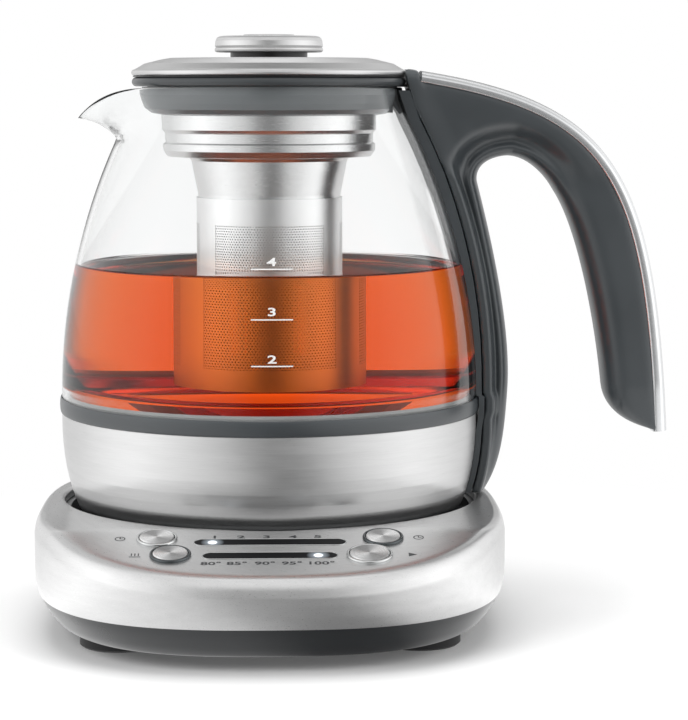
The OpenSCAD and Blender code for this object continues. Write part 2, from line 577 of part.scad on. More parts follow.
// A section between two points of the side view: squarer towards the first, rounder towards the second
function section(top, low, hw, square, round) = let (m = (top + low) / 2, h = (top - low) / 2) [
  for (i = [0:section_n - 1]) let (a = i * 360 / section_n, e = cos(a) > 0 ? square : round,
    u = power(cos(a), 2 / e), v = power(sin(a), 2 / e)) [m.x + h.x * u, -hw * v, m.y + h.y * u]];
function grip_width(t) = mix(strut_hw, grip_hw, clamp01(t / 0.5))
  - 1.6 * clamp01((t - end_t) / (1 - end_t));
strut_throat = [loop_x - 10.4, loop_z - 9.4];
strut_belly = [band_r + 11.9, glass_z + 4.1];
strut_top = [[loop_x + 2.1, loop_z + 9.7], [loop_x - 5.9, loop_z + 4.2],
  strut_throat + [-0.5, 6.1], strut_throat];
strut_mid = [strut_throat, strut_throat + [6, -22.8], strut_belly + [1.5, 23.4], strut_belly];
strut_low = [strut_belly, strut_belly - [1.1, 18.1], [band_r + 9.4, jug_z + 21.3],
  [band_r + 2.6, jug_z + 11.3]];
strut_path = concat(bez_path(strut_top, 5), bez_path(strut_mid, 7, 1), bez_path(strut_low, 6, 1));
rail_w = 3.8;                          // the flat strip beside the seat
module handle_grip() color("darkslategray") placed() difference() {
  union() {
    difference() {
      union() {
        loft([for (t = grip_ts) section(grip_outer(t), grip_low(t), grip_width(t), 5, 2.5)]);
        loft([for (p = reversed(strut_path)) section([mouth_r - 10.9, p.y], p, strut_hw - 0.7, 8, 2.6)]);
      }
      rotate_extrude() polygon(concat([[0, jug_z], [seat_side(spine_foot) + fit, jug_z]],
        [for (z = seat_zs) [seat_side(z) + fit, z]],
        [[lid_r + 0.7, spine_top + fit], [lid_r + 0.7, root_z + 40], [0, root_z + 40]]));
    }
    intersection() {
      rotate_extrude() polygon(concat([for (z = seat_zs) [seat_side(z) + rail_w, z]],
        [for (z = reversed(seat_zs)) [seat_side(z) + fit, z]]));
      front_block(strut_hw, spine_foot + 0.5, loop_z + 3.7);
    }
  }
  handle_screw_bores(screw_r + 0.05, 8.3);
}
module handle_trim() color("silver") placed() {
  ts = [for (i = [0:18]) mix(trim_from, 1, i / 18)];
  path = [for (t = ts) bez(grip_top, t)];
  loft([for (i = [0:18]) let (n = path_normal(path, i), t = mix(trim_t, trim_t * 1.55, ts[i]))
    section(path[i] + n * (t + fit), path[i] + n * fit, grip_width(ts[i]) - 0.4, 2.8, 12)]);
}
clip_hw = 5;
clip_r = mouth_r - glass_wall - 2.7;    // inner face of the hook inside the neck
clip_top = mouth_z + 1.2;
module handle_clip() color("black") placed() intersection() {
  rotate_extrude() polygon([[clip_r, clip_top - 0.6], [clip_r + 0.6, clip_top], [lid_r + 0.4, clip_top],
    [lid_r + 0.4, mouth_z + fit], [clip_r + 2.8, mouth_z + fit], [clip_r + 2.4, mouth_z - 0.6],
    [clip_r + 2.9, mouth_z - 3.6], [clip_r + 3.8, mouth_z - 7], [clip_r + 4.9, mouth_z - 9.6],
    [clip_r + 3.6, mouth_z - 10.4], [clip_r + 1, mouth_z - 7], [clip_r, mouth_z - 3.4]]);
  front_block(clip_hw, mouth_z - 20, mouth_z + 10);
}
head_r = 3.6;
module handle_screws() color("silver") placed() for (z = band_hole_z)
  translate([min(jug_radius(z - head_r), jug_radius(z + head_r)) - band_wall - 1.9, 0, z])
    rotate([0, 90, 0]) {
    cylinder(r = head_r, h = 1.7, $fn = 32);
    cylinder(r = screw_r, h = 10, $fn = 32);
  }

// ---------- tea basket ----------
ring_z = mouth_z + clear;
ring_in = mouth_r - 4.3;
collar_r = mouth_r - glass_wall - 2 * clear;
collar_z = mouth_z - 10.9;
funnel_r = collar_r - 7.45;            // outer radius of the funnel
notch_x = clip_r - 2 * clear;
module clip_notch(hw) translate([notch_x, -hw, collar_z - 20])
  cube([20, 2 * hw, clip_top + clear - collar_z + 20]);
module basket_ring() color("dimgray") placed() difference() {
  rotate_extrude() polygon(concat([[ring_in, ring_z], [ring_in, ring_z + ring_h]],
    [for (a = [90:-22.5:-90])
      [ring_r - ring_h / 2 + ring_h / 2 * cos(a), ring_z + ring_h / 2 * (1 + sin(a))]]));
  clip_notch(clip_hw + 1);
}
collar_path = [[collar_r + 0.2, ring_z - fit], [collar_r + 0.2, mouth_z - 3],
  [collar_r - 0.6, mouth_z - 6.4],
  [collar_r - 1.3, mouth_z - 8.6], [collar_r - 3.6, mouth_z - 10.3], [funnel_r + 0.15, collar_z]];
module basket_collar() color("gray", 0.7) placed() difference() {
  union() {
    rotate_extrude() polygon([for (p = collar_path) p, [funnel_r + 0.1, collar_z],
      [funnel_r + 0.1, collar_z + 2],
      [funnel_r + 2.95, collar_z + 2.1], [ring_in - 1.4, collar_z + 3.6], [ring_in - 0.3, collar_z + 5.2],
      [ring_in - fit, collar_z + 7.6], [ring_in - 1.4, collar_z + 9.4],
      [ring_in - 1.4, ring_z + ring_h - 0.6],
      [ring_in - fit, ring_z + ring_h - 0.6], [ring_in - fit, ring_z - fit]]);
    intersection() {
      translate([0, 0, collar_z + 1]) tube(notch_x + 1.8, 3.8, ring_z - fit - collar_z - 1);
      front_block(clip_hw + 3, collar_z, ring_z);
    }
  }
  clip_notch(clip_hw + 1);
}
sleeve_in = sleeve_r - sleeve_wall - 0.1;
sleeve_top = collar_z - 31;
// The funnel's outside from its flange down: a bead, a flat shoulder and a neck that fits in the sleeve
funnel_path = [[funnel_r + 2.65, collar_z + 2.9], [funnel_r + 2.65, collar_z + 2.2],
  [funnel_r, collar_z + 2.2],
  [funnel_r, collar_z - 5.3], [funnel_r - 1.15, collar_z - 6.7], [funnel_r - 1.15, collar_z - 10.1],
  [funnel_r - 0.3, collar_z - 10.7], [funnel_r - 0.35, collar_z - 13.2], [funnel_r - 1.95, collar_z - 15.4],
  [sleeve_r + 2.8, collar_z - 16], [sleeve_r + 1.8, collar_z - 17.1], [sleeve_r + 1.2, collar_z - 20.6],
  [sleeve_r + 0.1, collar_z - 26], [sleeve_in, sleeve_top + 1.1], [sleeve_in, sleeve_top - 6.5]];
module basket_funnel() color("silver") placed() rotate_extrude() polygon(concat(funnel_path, [
  [sleeve_in - funnel_wall, sleeve_top - 6.5], [sleeve_in - funnel_wall, sleeve_top + 1.5],
  [sleeve_r + 0.1 - funnel_wall, collar_z - 25.6], [sleeve_r + 1.2 - funnel_wall, collar_z - 20.4],
  [sleeve_r + 2 - funnel_wall, collar_z - 16.9 + funnel_wall],
  [sleeve_r + 3 - funnel_wall, collar_z - 15.9 + funnel_wall],
  [funnel_r - 1.55 - funnel_wall, collar_z - 15.35 + funnel_wall],
  [funnel_r - 0.35 - funnel_wall, collar_z - 12.9],
  [funnel_r - 0.35 - funnel_wall, collar_z - 11.1], [funnel_r - 1.15 - funnel_wall, collar_z - 10.5],
  [funnel_r - 1.15 - funnel_wall, collar_z - 6.5], [funnel_r - funnel_wall, collar_z - 4.9],
  [funnel_r - funnel_wall, collar_z + 2.9]]));
panels = 3;                            // of staggered holes, with plain strips between
panel_turn = 96;                       // angle that one of them takes
holes_low = basket_z + 8.2;
holes_high = sleeve_top - 10.5;
module basket_sleeve() color("silver") placed() difference() {
  turn = hole_pitch / sleeve_r * 180 / PI;
  row_h = hole_pitch * sin(60);
  cols = floor(panel_turn / turn);
  translate([0, 0, basket_z]) tube(sleeve_r, sleeve_wall, sleeve_top - basket_z);
  for (row = [0:floor((holes_high - holes_low) / row_h)], p = [0:panels - 1], c = [1:cols])
    rotate([0, 0, p * 360 / panels - 90 + (c - cols / 2 - 0.75 + row % 2 / 2) * turn])
      translate([sleeve_r - 2, 0, holes_low + row * row_h]) rotate([0, 90, 0])
        cylinder(r = hole_r, h = 3, $fn = 24);
}
module basket_floor() color("silver") placed() rotate_extrude() polygon([
  [0, basket_z], [sleeve_in, basket_z], [sleeve_in, basket_z + 4], [sleeve_in - 0.5, basket_z + 4],
  [sleeve_in - 0.5, basket_z + 1.2], [sleeve_in - 1.3, basket_z + 0.6], [0, basket_z + 0.6]]);

// ---------- lid ----------
lid_z = ring_z + ring_h + 0.5;
lid_top = lid_z + lid_h - 0.2;
lid_flat_r = lid_r - 13;
plug_r = ring_in - 3.4;
stem_top_r = knob_r - 6;               // of the stem below the knob's cap
module lid_cap() color("silver") placed() rotate_extrude() polygon(concat(
  [[4, lid_top - 1], [4, lid_top], [lid_flat_r - 1.5, lid_top], [lid_flat_r + 1.5, lid_top - 0.5],
    [lid_r - 5, lid_z + 4.6], [lid_r - 1.4, lid_z + 2.5]],
  [for (a = [60:-30:-90]) [lid_r - 1.2 + 1.2 * cos(a), lid_z + 1.2 * (1 + sin(a))]],
  [[lid_r - 2.6, lid_z + 0.4], [lid_r - 3.4, lid_z + 2.2], [lid_r - 6, lid_z + 3.6],
  [lid_flat_r, lid_top - 1.4],
    [lid_flat_r - 2.5, lid_top - 1]]));
module lid_plug() color("dimgray") placed() rotate_extrude() polygon([
  [3.2, lid_top - 1.1], [lid_flat_r - 3, lid_top - 1.1], [lid_flat_r - 1, lid_z + 3.4],
  [lid_r - 6.6, lid_z + 3.1], [lid_r - 4, lid_z + 1.6],
  [plug_r, lid_z + 1.6], [plug_r, lid_z - 6], [plug_r - 1, lid_z - 7], [plug_r - 2.4, lid_z - 7],
  [plug_r - 2.4, lid_z + 1.4], [lid_flat_r - 5, lid_top - 3], [3.2, lid_top - 3]]);
module lid_gasket() color("lightgray") placed() rotate_extrude() polygon([
  [plug_r + 0.05, lid_z + 1.5], [lid_r - 4.2, lid_z + 1.5], [lid_r - 4.2, lid_z + 0.2],
  [ring_in + 1, lid_z - 0.2],
  [ring_in, lid_z + 0.2], [plug_r + 0.05, lid_z + 0.4]]);
stem_h = 2.2;
module knob_stem() color("black") placed() rotate_extrude() polygon([[2.2, lid_top + 0.05],
  [stem_top_r, lid_top + 0.05],
  [stem_top_r, lid_top + stem_h], [2.2, lid_top + stem_h]]);
knob_z = lid_top + stem_h + 0.05;
module knob_cap() color("silver") placed() rotate_extrude() polygon(concat(
  [[0, knob_z + 2.4], [2.1, knob_z + 2.4], [2.1, knob_z], [knob_r - 0.9, knob_z]],
  [for (a = [-60:30:60]) [knob_r - 0.9 + 0.9 * cos(a), knob_z + 0.9 + 0.9 * sin(a)]],
  bez_path([[knob_r - 0.1, knob_z + 2.4], [knob_r - 0.2, knob_h + knob_z - 0.6],
    [knob_r - 1, knob_h + knob_z - 0.2],
    [knob_r - 2.6, knob_h + knob_z]], 4),
  [[knob_r / 2 - 0.15, knob_z + knob_h - 0.2], [knob_r / 2 - 0.75, knob_z + knob_h + 0.6],
    [0, knob_z + knob_h + 0.7]]));
module knob_screw() color("silver") placed() {
  translate([0, 0, lid_top - 5]) cylinder(r = 5, h = 1.9, $fn = 32);
  translate([0, 0, lid_top - 4]) cylinder(r = 2, h = 8.4, $fn = 32);
}

base_shell();
base_chassis();
base_well();
base_connector();
connector_contacts();
panel_carrier();
control_board();
tact_switches();
status_leds();
time_window();
temperature_window();
button_bezels();
power_board();
power_relay();
buzzer();
rubber_feet();
base_screws();
cord_gland();
time_button();
timer_button();
warm_button();
start_button();
time_stem();
timer_stem();
warm_stem();
start_stem();
kettle_socket();
kettle_contacts();
glass_jug();
trim_ring();
steel_band();
jug_underside();
heater_plate();
heater_seal();
heating_element();
temperature_sensor();
thermal_cutouts();
handle_spine();
handle_grip();
handle_trim();
handle_clip();
handle_screws();
basket_ring();
basket_collar();
basket_funnel();
basket_sleeve();
basket_floor();
lid_cap();
lid_plug();
lid_gasket();
knob_stem();
knob_cap();
knob_screw();
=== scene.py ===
"""Looks of the glass tea maker: a jug of tea with its steel basket, on a powered base."""

import json
import math

import bmesh
import bpy
import numpy as np
from mathutils import Matrix, Vector


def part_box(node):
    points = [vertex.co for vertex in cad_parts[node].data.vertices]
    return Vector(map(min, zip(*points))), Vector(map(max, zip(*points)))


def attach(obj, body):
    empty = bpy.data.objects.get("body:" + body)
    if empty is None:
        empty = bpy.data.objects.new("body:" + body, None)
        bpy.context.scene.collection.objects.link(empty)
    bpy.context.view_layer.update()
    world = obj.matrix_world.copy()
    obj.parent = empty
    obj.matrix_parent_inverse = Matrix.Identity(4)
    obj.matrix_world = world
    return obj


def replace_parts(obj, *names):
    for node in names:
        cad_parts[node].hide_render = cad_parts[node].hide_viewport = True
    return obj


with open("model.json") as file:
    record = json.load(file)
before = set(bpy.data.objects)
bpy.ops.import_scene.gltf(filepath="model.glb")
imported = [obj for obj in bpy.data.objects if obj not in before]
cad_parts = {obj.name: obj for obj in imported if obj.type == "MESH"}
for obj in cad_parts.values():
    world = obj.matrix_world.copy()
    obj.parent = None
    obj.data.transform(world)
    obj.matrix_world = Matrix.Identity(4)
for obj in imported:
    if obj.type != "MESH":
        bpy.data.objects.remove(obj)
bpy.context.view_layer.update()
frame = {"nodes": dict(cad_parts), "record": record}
NODES = frame["nodes"]
MM = 0.001

# ---------------------------------------------------------------- the frame
# Everything is worked out in millimetres about the jug's axis, with the table at z = 0.
low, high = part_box("steel_band")
AXIS = Vector(((low.x + high.x) / 2, (low.y + high.y) / 2, 0))


def row(points):
    """Points in millimetres about the jug's axis, as metres in the row frame."""
    return np.asarray(points, float) * MM + np.array(AXIS)


def node_top(node):
    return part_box(node)[1].z / MM


def node_foot(node):
    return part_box(node)[0].z / MM


def node_radius(node):
    return (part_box(node)[1].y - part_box(node)[0].y) / 2 / MM


# ---------------------------------------------------------------- meshes
def smooth(obj, angle=35):
    """Shades a piece smooth, with its edges over the angle left sharp."""
    bm = bmesh.new()
    bm.from_mesh(obj.data)
    limit = math.radians(angle)
    for e in bm.edges:
        e.smooth = len(e.link_faces) == 2 and e.calc_face_angle(0) < limit
    for f in bm.faces:
        f.smooth = True
    bm.to_mesh(obj.data)
    bm.free()
    return obj


def add_object(name, verts, faces, material, body, angle=35, weld=0.0):
    mesh = bpy.data.meshes.new(name)
    mesh.from_pydata([tuple(v) for v in verts], [], [tuple(f) for f in faces])
    mesh.validate()
    bm = bmesh.new()
    bm.from_mesh(mesh)
    if weld:
        bmesh.ops.remove_doubles(bm, verts=bm.verts, dist=weld)
    bmesh.ops.recalc_face_normals(bm, faces=bm.faces)
    bm.to_mesh(mesh)
    bm.free()
    mesh.materials.append(material)
    obj = bpy.data.objects.new(name, mesh)
    bpy.context.scene.collection.objects.link(obj)
    smooth(obj, angle)
    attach(obj, body)
    return obj


def skin(rings, closed=False, caps=True):
    """Vertices and faces skinned over rings of as many points each."""
    rings = [np.asarray(r, float) for r in rings]
    n, m = len(rings[0]), len(rings)
    faces = []
    for k in range(m if closed else m - 1):
        a, b = k * n, ((k + 1) % m) * n
        faces += [(a + i, a + (i + 1) % n, b + (i + 1) % n, b + i) for i in range(n)]
    if caps and not closed:
        faces += [tuple(range(n))[::-1], tuple((m - 1) * n + i for i in range(n))]
    return np.concatenate(rings), faces


def revolve(profile, n=192, closed=True):
    """A turned body: the profile's (radius, height) points, joined round when closed."""
    a = np.arange(n) * 2 * math.pi / n
    rings = [np.stack([r * np.cos(a), r * np.sin(a), np.full(n, z)], 1) for r, z in profile]
    return skin(rings, closed, caps=False)


def bezier(p0, p1, p2, p3, n, start=0):
    """n + 1 - start points along a cubic curve."""
    t = np.arange(start, n + 1)[:, None] / n
    p0, p1, p2, p3 = (np.asarray(p, float) for p in (p0, p1, p2, p3))
    return (1 - t) ** 3 * p0 + 3 * (1 - t) ** 2 * t * p1 + 3 * (1 - t) * t * t * p2 + t ** 3 * p3


def spline(points, per_span):
    """A smooth curve through points of any shape, with per_span steps from each to the next."""
    p = np.asarray(points, float)
    ends = np.concatenate([[2 * p[0] - p[1]], p, [2 * p[-1] - p[-2]]])
    out = []
    for k in range(1, len(ends) - 2):
        a, b, c, d = ends[k - 1:k + 3]
        for t in np.arange(per_span) / per_span:
            out.append(0.5 * (2 * b + (c - a) * t + (2 * a - 5 * b + 4 * c - d) * t * t
                              + (3 * b - a - 3 * c + d) * t ** 3))
    out.append(p[-1])
    return np.array(out)


def offset_path(path, distance):
    """The path moved sideways, to its left where the distance is positive."""
    p = np.asarray(path, float)
    d = np.gradient(p, axis=0)
    d /= np.linalg.norm(d, axis=1)[:, None]
    return p + distance * np.stack([-d[:, 1], d[:, 0]], 1)


def loose(name, verts, faces):
    """A helper object that is used up before the scene is finished."""
    mesh = bpy.data.meshes.new(name)
    mesh.from_pydata([tuple(v) for v in verts], [], [tuple(f) for f in faces])
    bm = bmesh.new()
    bm.from_mesh(mesh)
    bmesh.ops.recalc_face_normals(bm, faces=bm.faces)
    bm.to_mesh(mesh)
    bm.free()
    obj = bpy.data.objects.new(name, mesh)
    bpy.context.scene.collection.objects.link(obj)
    return obj


def cut(obj, cutters):
    """A helper with other helpers cut out of it, which are then removed."""
    for c in cutters:
        m = obj.modifiers.new("cut", "BOOLEAN")
        m.operation, m.solver, m.object = "DIFFERENCE", "EXACT", c
    obj.data = result(obj)
    obj.modifiers.clear()
    for c in cutters:
        bpy.data.objects.remove(c)
    return obj


def result(obj):
    """The mesh of a helper with its modifiers applied."""
    bpy.context.view_layer.update()
    return bpy.data.meshes.new_from_object(obj.evaluated_get(bpy.context.evaluated_depsgraph_get()))


def softened(obj, rounds):
    """A helper with its edges smoothed, after any modifier it already has."""
    m = obj.modifiers.new("soften", "SMOOTH")
    m.factor, m.iterations = 0.5, rounds
    obj.data = result(obj)
    obj.modifiers.clear()


def remeshed(obj, voxel, rounds):
    """Grows a helper's solids into one skin with softened edges."""
    m = obj.modifiers.new("remesh", "REMESH")
    m.mode, m.voxel_size = "VOXEL", voxel
    softened(obj, rounds)


def merged(name, parts):
    """Helpers put into one, where each stays a solid of its own."""
    bm = bmesh.new()
    for part in parts:
        bm.from_mesh(part.data)
        bpy.data.objects.remove(part)
    mesh = bpy.data.meshes.new(name)
    bm.to_mesh(mesh)
    bm.free()
    obj = bpy.data.objects.new(name, mesh)
    bpy.context.scene.collection.objects.link(obj)
    return obj


def finished(obj, name, material, body, angle=35):
    """A helper made a shown piece."""
    obj.name = obj.data.name = name
    obj.data.materials.clear()
    obj.data.materials.append(material)
    smooth(obj, angle)
    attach(obj, body)
    return obj


# ---------------------------------------------------------------- materials
class Graph:
    """A node tree, with short ways to add what the finishes and the studio share."""

    def __init__(self, tree):
        self.tree = tree

    def node(self, kind, **inputs):
        n = self.tree.nodes.new(kind)
        for key, value in inputs.items():
            self.plug(n.inputs[int(key[1:]) if key[1:].isdigit() else key.replace("_", " ")], value)
        return n

    def plug(self, socket, value):
        if isinstance(value, bpy.types.NodeSocket):
            self.tree.links.new(value, socket)
        else:
            socket.default_value = value

    def math(self, operation, a, b=0.0):
        n = self.node("ShaderNodeMath", i0=a, i1=b)
        n.operation = operation
        return n.outputs[0]

    def length(self, x, y):
        total = self.math("ADD", self.math("MULTIPLY", x, x), self.math("MULTIPLY", y, y))
        return self.math("POWER", total, 0.5)

    def place(self):
        """Where a point lies on the piece at rest, in metres."""
        return self.node("ShaderNodeTexCoord").outputs["Object"]

    def axes(self, vector):
        n = self.node("ShaderNodeSeparateXYZ", i0=vector)
        return n.outputs[0], n.outputs[1], n.outputs[2]

    def joined(self, x, y, z):
        return self.node("ShaderNodeCombineXYZ", i0=x, i1=y, i2=z).outputs[0]

    def scaled(self, vector, scale):
        n = self.node("ShaderNodeVectorMath", i0=vector, i1=scale)
        n.operation = "MULTIPLY"
        return n.outputs[0]

    def noise(self, vector, scale=1.0, detail=2.0, roughness=0.5):
        return self.node("ShaderNodeTexNoise", Vector=vector, Scale=scale, Detail=detail,
                         Roughness=roughness).outputs[0]

    def between(self, value, low, high, to_low, to_high):
        n = self.node("ShaderNodeMapRange", i0=value, i1=low, i2=high, i3=to_low, i4=to_high)
        return n.outputs[0]

    def ramp(self, value, stops):
        n = self.node("ShaderNodeValToRGB", i0=value)
        elements = n.color_ramp.elements
        while len(elements) < len(stops):
            elements.new(0.5)
        for e, (where, colour) in zip(elements, stops):
            e.position, e.color = where, (*colour, 1)
        return n.outputs[0]


class Paint(Graph):
    """A material with its main shader."""

    def __init__(self, name, **values):
        self.material = bpy.data.materials.new(name)
        self.material.use_nodes = True
        super().__init__(self.material.node_tree)
        self.shader = self.tree.nodes["Principled BSDF"]
        for key, value in values.items():
            self.shader.inputs[key.replace("_", " ")].default_value = value

    def bump(self, height, distance):
        n = self.node("ShaderNodeBump", Strength=1.0, Distance=distance, Height=height)
        self.link("Normal", n.outputs[0])

    def link(self, socket, value):
        self.plug(self.shader.inputs[socket], value)

    def round_grain(self):
        """Turns the sheen along the strokes that run round an upright axis."""
        tangent = self.node("ShaderNodeTangent")
        tangent.direction_type, tangent.axis = "RADIAL", "Z"
        self.link("Tangent", tangent.outputs[0])


def around(p, centre):
    """Coordinates along the turn, outward and up, in metres, about an upright axis."""
    x, y, z = p.axes(p.place())
    x, y = p.math("SUBTRACT", x, centre[0]), p.math("SUBTRACT", y, centre[1])
    return p.math("ARCTAN2", y, x), p.length(x, y), z


def brushed(name, centre, colour=0.62, rough=0.27, anisotropy=0.6, along=9.0, across=4200.0, depth=0.000003,
            metallic=1.0, streak=1.0):
    """Steel brushed round an axis: long fine strokes, level with the table."""
    p = Paint(name, Metallic=metallic, Roughness=rough, Anisotropic=anisotropy)
    angle, radius, z = around(p, centre)
    strokes = p.joined(p.math("MULTIPLY", angle, along), p.math("MULTIPLY", radius, across),
                       p.math("MULTIPLY", z, across))
    fine = p.noise(strokes, 1.0, 3.0, 0.6)
    broad = p.noise(p.joined(p.math("MULTIPLY", angle, along / 3), p.math("MULTIPLY", radius, across / 9),
                             p.math("MULTIPLY", z, across / 9)), 1.0, 2.0, 0.5)
    mixed = p.math("ADD", p.math("MULTIPLY", fine, 0.6), p.math("MULTIPLY", broad, 0.4))
    p.link("Base Color", p.ramp(mixed, [(0.32, (colour * (1 - 0.06 * streak),) * 3),
                                        (0.68, (colour * (1 + 0.05 * streak),) * 3)]))
    p.link("Roughness", p.between(fine, 0.25, 0.75, rough - 0.04 * streak, rough + 0.05 * streak))
    p.round_grain()
    p.bump(fine, depth)
    return p.material


def plastic(name, colour, rough=0.42, grain=0.00002, specular=0.5, scale=2600.0):
    """Moulded plastic with a fine spark-eroded grain and slight unevenness of sheen."""
    p = Paint(name, Roughness=rough, Specular_IOR_Level=specular)
    grains = p.noise(p.scaled(p.place(), (scale,) * 3), 1.0, 2.0, 0.55)
    cloud = p.noise(p.scaled(p.place(), (38, 38, 38)), 1.0, 2.0, 0.5)
    p.link("Base Color", p.ramp(cloud, [(0.3, tuple(c * 0.93 for c in colour)),
                                        (0.7, tuple(c * 1.07 for c in colour))]))
    p.link("Roughness", p.between(cloud, 0.3, 0.7, rough - 0.03, rough + 0.04))
    p.bump(grains, grain)
    return p.material


def plain_metal(name, colour, rough, uneven=0.08):
    p = Paint(name, Metallic=1.0, Roughness=rough)
    cloud = p.noise(p.scaled(p.place(), (300, 300, 300)), 1.0, 3.0, 0.5)
    p.link("Base Color", p.ramp(cloud, [(0.25, tuple(c * (1 - uneven) for c in colour)),
                                        (0.75, tuple(c * (1 + uneven) for c in colour))]))
    p.link("Roughness", p.between(cloud, 0.3, 0.7, rough - uneven / 2, rough + uneven / 2))
    return p.material


def spun(name):
    """Steel turned on a lathe: fine rings about each button's own middle, and a painted highlight: a bow-tie
    fan of lighter and darker base colour about that middle.
    """
    p = Paint(name, Metallic=1.0, Roughness=0.24, Anisotropic=0.85)
    x, y, _ = p.axes(p.node("ShaderNodeTexCoord").outputs["Generated"])
    x, y = p.math("SUBTRACT", x, 0.5), p.math("SUBTRACT", y, 0.5)
    # Painted highlight: the fan of light and dark that spun steel reflects is painted into the base colour by
    # the angle about the button's middle
    painted_fan = p.math("SINE", p.math("ADD", p.math("MULTIPLY", p.math("ARCTAN2", y, x), 2.0), 0.5))
    p.link("Base Color", p.ramp(p.between(painted_fan, -1.0, 1.0, 0, 1),
                                [(0.1, (0.34,) * 3), (0.55, (0.6,) * 3), (0.95, (0.92,) * 3)]))
    rings = p.noise(p.joined(p.math("MULTIPLY", p.length(x, y), 160.0), 0.0, 0.0), 1.0, 2.0)
    p.link("Roughness", p.between(rings, 0.3, 0.7, 0.2, 0.3))
    p.round_grain()
    p.bump(rings, 0.000002)
    return p.material


def clear_glass(name):
    p = Paint(name, Base_Color=(0.975, 0.98, 0.98, 1), Roughness=0.0, IOR=1.47, Transmission_Weight=1.0,
              Specular_Tint=(0.3, 0.3, 0.3, 1))
    return p.material


JUG_AXIS = (AXIS.x, AXIS.y)
HANDLE_GREY = (0.042, 0.049, 0.054)
BASE_GREY = (0.014, 0.016, 0.018)

STEEL_BAND = brushed("brushed steel band", JUG_AXIS, 0.63, 0.31, 0.7)
STEEL_SHELL = brushed("brushed steel shell", (0, 0), 0.70, 0.30, along=20, metallic=0.92)
STEEL_LID = brushed("brushed steel lid", JUG_AXIS, 0.58, 0.22)
STEEL_BASKET = brushed("brushed steel basket", JUG_AXIS, 0.74, 0.26, 0.4, depth=0.000001, streak=0.4)
STEEL_SLEEVE = brushed("perforated steel", JUG_AXIS, 0.86, 0.36, 0.2, depth=0.000001, streak=0.3)
TRIM_METAL = plain_metal("satin trim", (0.8, 0.81, 0.82), 0.26, 0.02)
SPUN_CAP = spun("spun button steel")
SCREW_METAL = plain_metal("screw steel", (0.5, 0.5, 0.5), 0.35)
CHROME = plain_metal("polished ring", (0.62, 0.63, 0.63), 0.12)
BRASS = plain_metal("contact brass", (0.78, 0.58, 0.28), 0.3)
ELEMENT = plain_metal("element sheath", (0.22, 0.21, 0.2), 0.5)
HANDLE = plastic("handle plastic", HANDLE_GREY, 0.32, specular=0.75)
RING = plastic("ring plastic", (0.048, 0.053, 0.057), 0.33)
HOUSING = plastic("housing plastic", BASE_GREY, 0.3, specular=0.7)
WELL = plastic("well plastic", (0.2, 0.205, 0.21), 0.4)
BLACK = plastic("black plastic", (0.012, 0.012, 0.013), 0.35)
WHITE = plastic("white plastic", (0.7, 0.7, 0.68), 0.4)
RUBBER = plastic("rubber", (0.03, 0.03, 0.031), 0.7, specular=0.3)
SILICONE = plastic("silicone", (0.4, 0.41, 0.41), 0.5)
CERAMIC = plastic("ceramic", (0.62, 0.56, 0.46), 0.5)
SMOKE = plastic("smoke plastic", (0.24, 0.26, 0.27), 0.22)
BOARD = plastic("circuit board", (0.02, 0.12, 0.05), 0.4)


def lit_window(name, x, y, z):
    """A gloss black window with one light glowing behind it."""
    p = Paint(name, Base_Color=(0.004, 0.004, 0.005, 1), Specular_IOR_Level=0.04, Emission_Strength=1.6)
    dust = p.noise(p.scaled(p.place(), (900, 900, 900)), 1.0, 2.0)
    p.link("Roughness", p.between(dust, 0.3, 0.7, 0.05, 0.1))
    away = p.node("ShaderNodeVectorMath", i0=p.place(), i1=tuple(row([x, y, z])))
    away.operation = "DISTANCE"
    glow = p.ramp(p.between(away.outputs["Value"], 0.0, 0.0042, 0, 1),
                  [(0.0, (1, 1, 1)), (0.3, (0.9, 0.95, 1)), (0.45, (0.16, 0.18, 0.2)), (1.0, (0, 0, 0))])
    p.link("Emission Color", glow)
    return p.material


GLOSS = lit_window("time window", -20.3, -90.9, 41.1)
GLOSS_LOW = lit_window("temperature window", 16.8, -102.6, 38.6)
LIGHT = plastic("light guide", (0.8, 0.82, 0.85), 0.3)
DARK_RING = plain_metal("dark ring", (0.10, 0.11, 0.115), 0.2)
INK = plastic("printed ink", (0.035, 0.037, 0.04), 0.5, grain=0.0)
MARK_WHITE = plastic("level mark white", (0.85, 0.85, 0.84), 0.5, grain=0.0)
GLASS = clear_glass("jug glass")

FINISH = {
    "brushed_steel": STEEL_BAND, "polished_steel": STEEL_BASKET, "perforated_steel": STEEL_SLEEVE,
    "spun_steel": STEEL_LID, "screw_steel": SCREW_METAL, "satin_trim": TRIM_METAL, "bezel_metal": CHROME,
    "element_metal": ELEMENT, "brass": BRASS, "ceramic": CERAMIC, "jug_glass": GLASS,
    "handle_plastic": HANDLE, "ring_plastic": RING, "base_plastic": HOUSING, "well_plastic": WELL,
    "black_plastic": BLACK,
    "white_plastic": WHITE, "smoke_plastic": SMOKE, "window_gloss": GLOSS, "led_diffuser": LIGHT,
    "circuit_board": BOARD, "rubber": RUBBER, "silicone": SILICONE}
OWN_FINISH = {f"{b}_button": SPUN_CAP for b in ("time", "timer", "warm", "start")}
OWN_FINISH["temperature_window"] = GLOSS_LOW
SLOT = {s["node"]: s["material_slot"] for s in frame["record"]["subparts"]}
for name, node in NODES.items():
    node.data.materials.clear()
    node.data.materials.append(OWN_FINISH.get(name, FINISH[SLOT[name]]))
    for polygon in node.data.polygons:
        polygon.use_smooth = True

